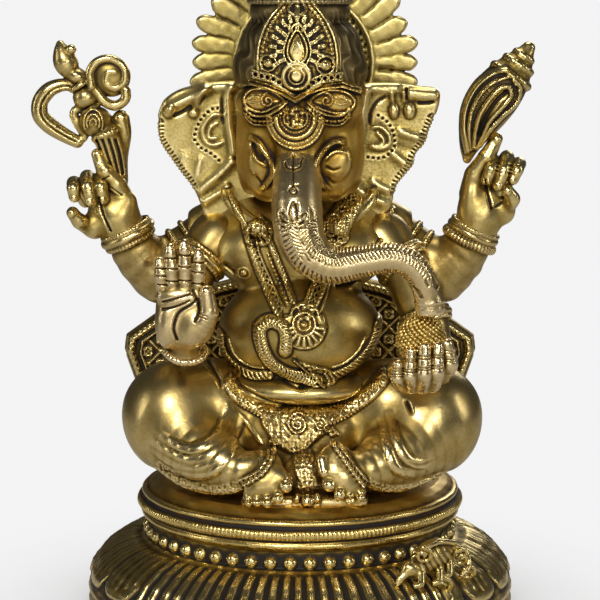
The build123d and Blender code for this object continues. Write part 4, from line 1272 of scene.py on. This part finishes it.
def cushion():
    """The bolster cushion behind the figure: a roped border round a field of quatrefoils."""
    clay = Clay((-96, 24, 64.5), (96, 45, 170), 0.6)
    half = [
        (50, 67), (68, 84), (85.5, 108), (91, 124), (90, 131.5), (74, 143), (60, 151.5), (45, 158),
        (22, 164), (0, 165.5)]
    outline = np.array(half + [(-x, z) for x, z in half[-2::-1]], float)
    dense = [outline[0]]
    for a, b in zip(outline, np.roll(outline, -1, 0)):
        dense += [a + (b - a) * t for t in np.linspace(0, 1, 8)[1:]]
    outline = np.array(dense)
    clay.slab(outline, 29.4, 41, 4.5)
    crown = (np.clip(np.abs(clay.gap(outline, FAR)) / FAR, 0, 1) ** 0.6).astype(float)
    inside = clay.within(outline, 0.5)
    clay.map += 1.6 * crown * inside - 1.4 * inside
    centre = np.array((0, 112.0))
    inset = centre + (outline - centre) * (0.955, 0.94)
    clay.twist(loop(inset), 1.9, 3.0, 1.9)
    inner = centre + (outline - centre) * (0.90, 0.87)
    clay.cord(loop(inner), 0.7, 1.4)
    field = clay.within(inner, 0.8)
    u, v = (clay.x + clay.z) / 13, (clay.x - clay.z) / 13
    rib = np.minimum(np.abs(u - np.round(u)), np.abs(v - np.round(v))) * 13
    clay.map += field * 0.9 * np.clip(1 - (rib / 1.2) ** 2, 0, 1)
    du, dv = (u - np.floor(u) - 0.5), (v - np.floor(v) - 0.5)
    r, a = np.hypot(du, dv) * 13, np.arctan2(dv, du)
    petal = np.clip(1 - ((r - 2.7) / (1.9 * (0.35 + 0.65 * np.abs(np.cos(2 * a))))) ** 2, 0, 1)
    clay.map += field * (1.0 * np.sqrt(petal) + 1.1 * np.sqrt(np.clip(1 - (r / 1.0) ** 2, 0, 1)))
    clay.grain(field, 1.1, 0.28, 12)
    clay.cast("cushion", AGED, 4)


# ---- arms and hands -----------------------------------------------------------------------------
def bangle(clay, centre, axis, radius, wires):
    """Rings side by side round a limb; each wire is (offset along the axis, size, number of beads)."""
    n = Vector(axis).normalized()
    for offset, wire, beads in wires:
        clay.ring(Vector(centre) + n * offset, n, radius, wire, 0.5, beads, 0.4)


def finger(clay, points, radii, nail=None):
    """A finger through its joints; nail is the (x, y, z) of the middle of the nail or pad."""
    clay.rope(points, radii, blend=0.9)
    for point, r in list(zip(points, np.broadcast_to(radii, len(points))))[1:-1]:
        clay.ball(point, r * 1.05, blend=0.8)
    if nail is not None:
        clay.ball(nail, (radii[-1] * 0.62, radii[-1] * 0.45, radii[-1] * 0.72), blend=0.25)


def curled(clay, knuckle, tip, r, root, thick, rise, nail):
    """A finger curled over; root, rise and nail are steps from its knuckle, its middle and its tip."""
    knuckle, tip = np.array(knuckle, float), np.array(tip, float)
    middle = (knuckle + tip) / 2 + rise
    finger(clay, [knuckle + root, knuckle, middle, tip], [thick, r * 1.06, r, r * 0.95], tip + nail)


def rear_arm(side, node, wrist):
    """An upper arm out to the elbow, and a raised forearm; wrist lists the wires of its bangle."""
    low, high = sorted((side * 30, side * 104))
    clay = Clay((low, -20, 148), (high, 34, 208), 0.5)
    elbow = (side * 70, 7, 168)
    clay.rope([(side * 39, 11, 190), (side * 56, 10, 178), elbow], [14, 14, 14.5], blend=3)
    clay.rope([
        elbow, (side * 79, 3.5, 176), (side * 85.5, 0, 187), (side * 87, -1, 191)],
        [14.5, 13.2, 11, 10.6], blend=4)
    bangle(clay, (side * 85.6, 0, 188.2), (side * 0.46, -0.1, 1), 12.0, wrist)
    for offset in (0, 6):
        middle = (side * (52 + offset), 10.2, 181 - 0.75 * offset)
        bangle(clay, middle, (side, -0.1, -0.72), 14.2, [(0, 1.5, 44)])
    clay.map += 0.25 * np.sin(0.5 * clay.x) * np.sin(0.45 * clay.z + 1)
    clay.cast(node, SHOULDER, 30)


def right_rear_arm():
    """The raised arm that holds up the goad."""
    rear_arm(-1, "right_rear_arm", [(-3.2, 1.7, 44), (0.2, 2.4, 0), (3.2, 1.5, 44)])


def left_rear_arm():
    """The raised arm that holds up the shell."""
    rear_arm(1, "left_rear_arm", [(-2.8, 2.6, 44), (1.2, 1.9, 0), (4.0, 1.2, 44)])


def right_rear_hand():
    """A hand with its forefinger up along the goad and the other fingers curled round it."""
    clay = Clay((-121, -22, 178), (-74, 12, 240), 0.38)
    clay.ball((-93, -3, 200), (11.5, 8.5, 13), (0, -32, 0))
    clay.rope([(-86.5, -2, 188), (-90, -3, 197)], 10.4, blend=4)
    clay.ball((-87.5, -6.5, 200), (6.6, 5.2, 11), (0, 20, 0), blend=2)
    clay.ball((-101.5, -6, 193.5), (6.5, 5.5, 7), blend=2.5)
    finger(clay, [(-86, -4, 205), (-90.5, -6, 213.5), (-96, -7.5, 220.5), (-99.5, -7, 228.5)],
           [5.0, 4.6, 4.0, 3.1], (-98.2, -10, 223.5))
    for knuckle, tip, r in (((-99, -4, 216), (-96.6, -12, 207.4), 3.2),
                            ((-105, -4, 217), (-102.6, -13, 206.6), 3.3),
                            ((-111.5, -4, 214), (-110.6, -12, 208.4), 3.2)):
        curled(clay, knuckle, tip, r, (5, 4, -9), 3.6, (0, -4.2, 1.4), (-0.3, -2.4, -0.6))
    finger(clay, [(-104, -5, 193), (-108.5, -11, 196), (-111.6, -13, 200.4)], [5, 3.7, 3.1],
           (-111.8, -15.8, 200.4))
    clay.groove([(-98.4, 208), (-97.2, 201), (-93.2, 191.5)], 0.6, 1.3)
    clay.groove([(-92.6, 212.4), (-87.6, 208.8)], 0.35, 0.6)
    clay.groove([(-93.8, 218.2), (-97, 216.6)], 0.35, 0.6)
    clay.grain(clay.within([(-104, 203), (-97, 204), (-96, 197), (-101, 198)], 2), 1.3, 0.5, 13)
    clay.cast("right_rear_hand", BRASS, 5)


def left_rear_hand():
    """A hand with its forefinger up along the shell and the other fingers curled round it."""
    clay = Clay((73, -22, 178), (120, 12, 244), 0.38)
    clay.ball((91, -3, 202), (12.5, 8.5, 13), (0, 25, 0))
    clay.rope([(86.5, -2, 188), (89, -3, 197)], 10.4, blend=4)
    clay.ball((84.5, -6.5, 205), (6.0, 5.4, 13.5), (0, 6, 0), blend=2)
    clay.ball((100, -5, 200.5), (6.5, 5.5, 7), blend=2)
    finger(clay, [(84, -4, 209), (86, -6, 218.5), (91.6, -7.5, 227), (96.4, -7, 236.2)],
           [5.4, 4.8, 4.2, 3.2], (96.5, -9.6, 236))
    for knuckle, tip, r in (((95.5, -4, 225), (91.6, -13, 216.6), 3.1),
                            ((102, -4, 226.8), (97.4, -13.6, 214.4), 3.2),
                            ((108, -4, 223.6), (104.4, -12.6, 217), 3.1)):
        curled(clay, knuckle, tip, r, (-6, 4, -10), 3.7, (0, -4.4, 1.2), (-0.3, -2.4, -0.3))
    finger(clay, [(102, -5, 203), (104.4, -11, 207), (101.6, -14, 211.6)], [4.6, 3.6, 3.0],
           (101.4, -16.8, 211.4))
    clay.groove([(90.6, 217), (92.4, 209), (94, 202.4)], 0.6, 1.5)
    clay.groove(smooth([(94, 202), (99, 205)]), 0.5, 0.8)
    for step in range(3):
        z = 221.5 + 1.9 * step
        clay.groove([(95.2 + 0.4 * step, z), (98.6, z - 1)], 0.3, 0.5)
        clay.groove([(101 + 0.4 * step, z - 1), (104.6, z - 2.2)], 0.3, 0.5)
    clay.cast("left_rear_hand", BRASS, 5)


def goad():
    """A short goad: a beaded spike, a curled hook on one side, a scroll on the other, a fluted grip."""
    clay = Clay((-136, -18, 209), (-78, 9, 290), 0.4)
    clay.rope([
        (-117.2, -5, 282.2, 2.1), (-116.2, -5, 278, 4.4), (-114.6, -5, 273.4, 6.0),
        (-112.4, -5, 269, 4.2)])
    clay.ball((-111.6, -8, 280), (2.6, 2.2, 2.4), blend=1.2)
    clay.ball((-109, -5, 266.8), (5.8, 5.6, 4.2), (0, 28, 0), blend=0.8)
    clay.ring((-107.8, -5, 262.4), (-0.5, 0, 0.86), 4.6, 1.3, 0.4)
    clay.ball((-105, -5, 256.4), (6.3, 6.2, 6.0), blend=0.4)
    clay.ring((-102.4, -5, 251), (-0.5, 0, 0.86), 4.6, 1.1, 0.4)
    clay.ball((-100.4, -5, 244.6), (8.2, 7.6, 7.6), blend=0.6)
    clay.ring((-95.2, -5, 238.6), (-0.42, 0, 0.9), 6.6, 1.5, 0.5, 22, 0.35)
    clay.rope([
        (-95, -5, 238, 7.2), (-92.6, -4, 231, 6.8), (-91, -3, 222, 5.4), (-89.6, -2, 214, 4.4)],
        blend=1)
    clay.rope([
        (-88, -4, 246, 4.2), (-86.6, -4, 238, 3.6), (-88, -3, 226, 3.0), (-88.4, -2, 216, 3.0)],
        blend=1.5)
    curls(clay)
    for size in (6.6, 4.4, 2.2):
        clay.cord(arc(-101, 244.4, size * 0.72, size, -30, 210, 30), 0.55, 0.9)
    for shift in (-4.6, -1.6, 1.6, 4.6):
        flute = [(-95 + shift, 236), (-93 + shift * 0.95, 229), (-90.6 + shift * 0.7, 219)]
        clay.groove(flute, 0.7, 1.4)
    clay.cast("goad", AGED, 5)


def curls(clay):
    """The goad's hook, with a spur back to the shaft, and the scroll on its other side."""
    hook = smooth([
        (-110, 261.6), (-116, 262.6), (-122.6, 260.4), (-127.4, 254.6), (-127.6, 247.8), (-123, 242.6),
        (-116.4, 238.2), (-109.6, 234.6)])
    thick = np.interp(np.linspace(0, 1, len(hook)), [0, 0.3, 0.7, 1], [2.6, 3.9, 4.1, 3.1])
    clay.rope(at_depth(hook, -5), thick, blend=1)
    back = smooth([(-109, 235.4), (-106, 237.6), (-108.6, 242.6), (-111, 248.6), (-107, 252)])
    clay.rope(at_depth(back, -5), 2.2, blend=1)
    clay.ball((-92.6, -4.4, 266.6), (9.6, 4.6, 10), blend=2)
    scroll = smooth([
        (-102, 262), (-102.6, 269), (-99, 274), (-92.4, 275.4), (-86.4, 271.6), (-85.6, 265),
        (-90, 261.2), (-94.6, 263.4), (-94, 268.4), (-90.4, 269)])
    clay.rope(at_depth(scroll, -7.6), np.linspace(2.3, 1.7, len(scroll)), blend=0.7)
    wave = smooth([(-100, 259.6), (-96, 254.6), (-90.4, 252.4), (-85.6, 255.6), (-85.4, 260)])
    clay.rope(at_depth(wave, -6.6), 2.5, blend=0.8)
    clay.groove(hook[4:-2] + (1.2, -0.4), 0.5, 0.9)
    clay.grain(clay.within(hook, 0.5), 2.2, 0.2, 14)


def conch():
    """A shell held upright: long S-curved lips and ridges, ringed whorls up to the tip."""
    clay = Clay((70, -24, 218), (119, 14, 289), 0.4)
    spine = [
        (82.4, -4, 226, 2.2), (83.6, -4.6, 233, 5.0), (86.4, -5, 241, 8.2), (91, -5, 250, 11.4),
        (96.4, -5, 258, 12.2), (101.6, -5, 265, 10.6), (106, -5, 271.4, 7.6), (109.2, -5, 276.4, 5.0),
        (111.6, -5, 280.4, 3.2)]
    clay.rope(spine, spacing=1.2)
    clay.ball((111.8, -5, 280.6), (3.2, 3.0, 3.0), blend=0.4)
    axis = (0.56, 0, 0.83)
    for x, z, r, wire in ((103.2, 267, 9.6, 2.3), (106.8, 272.4, 7.0, 2.0), (109.4, 276.6, 4.6, 1.6)):
        clay.ring((x, -5, z), axis, r, wire, 1.0, 20, 0.12)
    ridges = (
        ([(100, 270.6), (93, 268.6), (85.6, 262.4), (80.6, 252.6), (79.6, 242), (82, 230)], 1.5, 1.7),
        ([(101, 267), (94, 264.6), (87.6, 258.6), (83.4, 249.6), (82.4, 240), (83.6, 231)], 1.0, 1.2),
        ([(101.4, 262.4), (97, 261.6), (91.6, 256), (87, 247.6), (85.4, 238.6), (85, 232)], 1.2, 1.9),
        ([(101.6, 262), (102.6, 258), (98.6, 252.6), (92, 245), (88.6, 236.4), (86.6, 231.6)], 1.2, 1.7),
        ([(103.6, 265.4), (107.2, 261), (105.8, 254), (98.6, 247.6), (92.4, 240.4), (88.6, 233)], 1.3, 1.5))
    for path, width, rise in ridges:
        clay.cord(path, width, rise)
    clay.groove([(99.6, 259.4), (95.6, 256), (90.6, 248), (87.4, 239)], 1.1, 2.2)
    combed = smooth([(97, 266), (90.6, 261), (85.4, 251.6), (83.9, 241)])
    clay.hatch(combed, 1.6, 1.5, 0.5, 0, 1.2)
    combed = smooth([(103, 262), (104.4, 257), (100, 251), (93, 243.6)])
    clay.hatch(combed, 1.7, 1.6, 0.45, 0, -0.8)
    for x, z in ((104.6, 263.4), (106.6, 259.8), (107, 255.8)):
        clay.boss(x, z, 1.0, 1.9)
    clay.cast("conch", AGED, 6)


def front_arm(side, node, path, rings):
    """An arm from the shoulder through path to the wrist, with its bangles at (centre, axis, radius)."""
    low, high = sorted((side * 28, side * 80))
    clay = Clay((low, -50, 118), (high, 12, 204), 0.5)
    clay.rope([(side * 34, 0, 188), (side * 42, -6, 187)], 13, blend=2)
    clay.rope(path, [12, 12, 11.5, 11, 9.5, 8.5], blend=5)
    for centre, axis, radius in rings:
        bangle(clay, centre, axis, radius, [(-2.6, 1.2, 36), (0, 1.9, 0), (2.6, 1.2, 36)])
    clay.cast(node, SHOULDER)


def right_front_arm():
    """The arm that bends up in front to the open palm."""
    path = [(-40, -8, 186), (-50, -14, 176), (-57, -18, 163), (-60, -23, 152), (-59, -33, 145),
            (-55, -41, 146)]
    armlet = ((-49, -13, 177.4), (-0.62, -0.32, -0.72), 12.8)
    wristlet = ((-57, -37, 145.4), (0.4, -0.9, 0.1), 9.6)
    front_arm(-1, "right_front_arm", path, (armlet, wristlet))


def left_front_arm():
    """The arm that reaches forward under the sweet."""
    path = [(40, -8, 186), (51, -15, 174), (57, -19, 160), (62, -22, 148), (64, -28, 137), (62, -37, 132)]
    armlet = ((50, -14, 175.6), (0.66, -0.4, -0.7), 12.8)
    wristlet = ((61.6, -22, 149.6), (0.3, -0.3, -0.9), 11.8)
    front_arm(1, "left_front_arm", path, (armlet, wristlet))


def right_front_hand():
    """The open palm that gives reassurance, fingers together, with its lines and joints."""
    clay = Clay((-74, -64, 131), (-36, -34, 195), 0.34)
    clay.ball((-54.6, -49, 154), (14.6, 6.4, 16))
    clay.ball((-62.6, -51, 151), (6.2, 5.4, 11.5), (0, 4, 0), blend=2.5)
    clay.ball((-49.6, -52.4, 150), (8.4, 5.8, 10.5), (0, 28, 0), blend=2)
    clay.ball((-56, -50.6, 164.4), (12.6, 5.2, 6), blend=2.5)
    for root, tip, r in (((-65.4, -49, 166), (-66.6, -50, 181.6), 3.0),
                         ((-60.6, -50, 167), (-61.6, -51, 188), 3.3),
                         ((-54.6, -50.4, 167), (-54.8, -51.4, 190), 3.4),
                         ((-48.4, -50, 166), (-48.2, -51, 185.6), 3.3)):
        mid = tuple(np.array(root) * 0.45 + np.array(tip) * 0.55 - (0, 0.6, 0))
        finger(clay, [root, mid, tip], [r * 1.04, r * 1.06, r * 0.78])
        clay.ball((tip[0], tip[1] - r * 0.2, tip[2] - 2.5), (r * 0.85, r * 0.8, 3.4), blend=0.6)
        for share in (0.16, 0.48, 0.74):
            z = root[2] + 2.4 + share * (tip[2] - root[2] - 2)
            x = root[0] + share * (tip[0] - root[0])
            clay.groove([(x - r * 0.8, z + 0.2), (x + r * 0.8, z - 0.1)], 0.32, 0.8)
    finger(clay, [(-47.4, -52, 150), (-43.6, -54.6, 157.6), (-44.2, -55.6, 167.6)], [6.4, 4.7, 3.5])
    for z in (155.6, 157):
        clay.groove([(-47.4, z + 0.6), (-44, z - 0.6)], 0.3, 0.7)
    clay.groove([(-65.4, 162.6), (-58.6, 164.6), (-52, 166.6)], 0.45, 0.9)
    clay.groove([(-65.4, 159.2), (-59.6, 160.4), (-52.4, 163.4)], 0.45, 0.9)
    clay.groove([(-58.6, 144.6), (-60, 150.6), (-57.8, 157.4), (-52, 161.4), (-48.8, 164)], 0.6, 1.1)
    clay.groove([(-51, 168), (-47.6, 160), (-49.6, 154)], 0.7, 1.0)
    clay.ring((-55, -47, 137.8), (0.1, -0.5, 1), 9.4, 1.8, 0.6, 30, 0.3)
    clay.rope([(-56, -44, 144), (-56, -42, 138)], 8.4, blend=3)
    clay.cast("right_front_hand", ROSY, 4)


def left_front_hand():
    """The lower left hand: a cupped palm with four fingers and a thumb up round the sweet."""
    clay = Clay((38, -69, 115), (79, -22, 149), 0.36)
    clay.ball((57, -46, 128), (15.6, 13, 8))
    clay.ball((56, -54, 124.6), (12, 7.5, 5), blend=2.5)
    clay.rope([(62, -38, 131), (60, -44, 129)], 8.4, blend=3)
    for points, radii in (
            ([(50, -55, 123), (46.6, -60.4, 127), (46.6, -60.6, 133.4)], [4.2, 3.4, 2.8]),
            ([(53, -57, 122.6), (52.4, -62.4, 128.6), (52.6, -61.2, 140)], [4.0, 3.5, 2.7]),
            ([(58, -57.4, 122.8), (58.8, -62.8, 129.4), (59, -61.4, 142)], [4.2, 3.7, 2.9]),
            ([(63, -56, 123.4), (64.6, -61, 130), (65.4, -59, 142)], [4.4, 3.7, 2.9]),
            ([(68, -46, 126), (71.4, -52, 132), (70, -53.6, 142)], [4.8, 4.0, 3.2])):
        finger(clay, points, radii)
        tip, middle = np.array(points[2]), np.array(points[1])
        clay.ball(tip + (0, -1.9, -0.4), (radii[2] * 0.7, 0.9, 2.0), blend=0.3)
        for share in (0.2, 0.62):
            x, _, z = middle + (tip - middle) * share
            for lift in (0, 1.1):
                clay.groove([(x - 2.6, z + lift), (x + 2.6, z + lift)], 0.28, 0.6)
    clay.cast("left_front_hand", ROSY, 4)


def sweet():
    """A round sweet made of packed grains."""
    centre = Vector((58, -50, 144))
    clay = Clay((44, -64, 130), (72, -36, 158), 0.36)
    clay.ball(centre, 11.6)
    count = 420
    for i in range(count):  # grains on a golden spiral
        z = 1 - (2 * i + 1) / count
        r, a = sqrt(1 - z * z), i * pi * (3 - sqrt(5))
        wobble = 0.35 * sin(12.9 * i)
        grain = centre + Vector((r * cos(a), r * sin(a), z)) * (11.5 + wobble * 0.5)
        clay.ball(grain, 0.92 + 0.14 * sin(7.7 * i), blend=0.25)
    clay.cast("sweet", AMBER)


PIECES = [
    base, seat, mouse, torso, legs, head, crown, crown_plate, trunk, right_ear, left_ear, halo, cushion,
    right_rear_arm, left_rear_arm, right_rear_hand, left_rear_hand, goad, conch, right_front_arm,
    left_front_arm, right_front_hand, left_front_hand, sweet]


# ---- stage --------------------------------------------------------------------------------------
CAMERA_PITCH = radians(9)
CAMERA_AIM = Vector((0, 0, 0.155))
CAMERA_DISTANCE = 1.1
FLOOR_REACH = 12
PALE = (0.90, 0.90, 0.90, 1)
LAMPS = {  # a soft box's place, the height it points at, its width and height, and its power
    "key": ((-0.35, -1.25, 1.05), 0.16, (0.30, 0.30), 11),
    "front": ((0.45, -1.35, 0.62), 0.15, (0.20, 0.20), 4.2),
    "low": ((-0.1, -1.1, 0.12), 0.12, (0.9, 0.12), 1.0),
    "fill_left": ((-1.4, -0.35, 0.55), 0.17, (0.12, 0.8), 2.2),
    "fill_right": ((1.4, -0.25, 0.65), 0.17, (0.12, 0.8), 2.6),
    "back": ((0.5, 1.35, 0.7), 0.16, (0.5, 0.5), 2.5),
    "top": ((0.1, 0.35, 1.3), 0.15, (0.6, 0.3), 4.5),
}


def add_object(name, data):
    """An object in the scene."""
    obj = bpy.data.objects.new(name, data)
    bpy.context.scene.collection.objects.link(obj)
    return obj


def pale_floor():
    """A matt pale floor; to the camera it is as bright as the ground behind it, with a contact shadow
    painted into that glow.
    """
    work = Shading(bpy.data.materials.new("pale_floor"))
    matt = work.nodes["Principled BSDF"]
    matt.inputs["Base Color"].default_value = (0.62, 0.60, 0.58, 1)
    matt.inputs["Roughness"].default_value = 0.7
    # painted contact shadow: the camera's glow darkens towards dark grey where ambient occlusion finds the
    # statue near
    nearby = work.add("ShaderNodeAmbientOcclusion", Distance=0.12)
    shade = work.add("ShaderNodeMix", data_type="RGBA")
    for key, value in (("Factor", nearby.outputs["AO"]), ("A", (0.30, 0.29, 0.28, 1)), ("B", PALE)):
        work.feed(shade.inputs[key], value)
    glow = work.add("ShaderNodeEmission", Color=shade.outputs["Result"])
    work.seen(matt.outputs[0], glow.outputs[0], "Material Output")
    return work.owner


def floor():
    """A square of floor, wide enough to fill the view."""
    mesh = bpy.data.meshes.new("floor")
    corners = [(x * FLOOR_REACH, y * FLOOR_REACH, 0) for x, y in ((-1, -1), (1, -1), (1, 1), (-1, 1))]
    mesh.from_pydata(corners, [], [(0, 1, 2, 3)])
    mesh.materials.append(pale_floor())
    add_object("floor", mesh)


def lamps():
    """The soft boxes, each turned to its point on the statue's axis."""
    for name, (place, height, size, power) in LAMPS.items():
        data = bpy.data.lights.new(name, "AREA")
        data.shape = "RECTANGLE"
        data.size, data.size_y = size
        data.energy = power
        obj = add_object(name, data)
        obj.location = place
        obj.rotation_euler = (Vector((0, 0, height)) - Vector(place)).to_track_quat("-Z", "Y").to_euler()


def surroundings():
    """Dim all round, but a plain pale ground to the camera."""
    world = bpy.data.worlds.new("studio")
    bpy.context.scene.world = world
    work = Shading(world)
    dim = work.nodes["Background"]
    dim.inputs["Color"].default_value = (0.055, 0.053, 0.050, 1)
    pale = work.add("ShaderNodeBackground", Color=PALE)
    work.seen(dim.outputs[0], pale.outputs[0], "World Output")


def camera():
    """Straight in front, looking down by CAMERA_PITCH."""
    data = bpy.data.cameras.new("camera")
    data.sensor_width, data.lens = 36, 132
    obj = add_object("camera", data)
    back = Vector((0, -cos(CAMERA_PITCH), sin(CAMERA_PITCH)))
    obj.location = CAMERA_AIM + CAMERA_DISTANCE * back
    obj.rotation_euler = back.to_track_quat("Z", "Y").to_euler()
    bpy.context.scene.camera = obj


def fasteners():
    """The CAD's own bolts, screws and washer, in steel."""
    steel = dull_steel()
    for node in ("clamp_bolt", "clamp_washer", "halo_screws", "cushion_screws"):
        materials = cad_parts[node].data.materials
        materials.clear()
        materials.append(steel)


floor()
lamps()
surroundings()
camera()
bpy.context.scene.view_settings.view_transform = "Standard"
for making in PIECES:
    making()
fasteners()
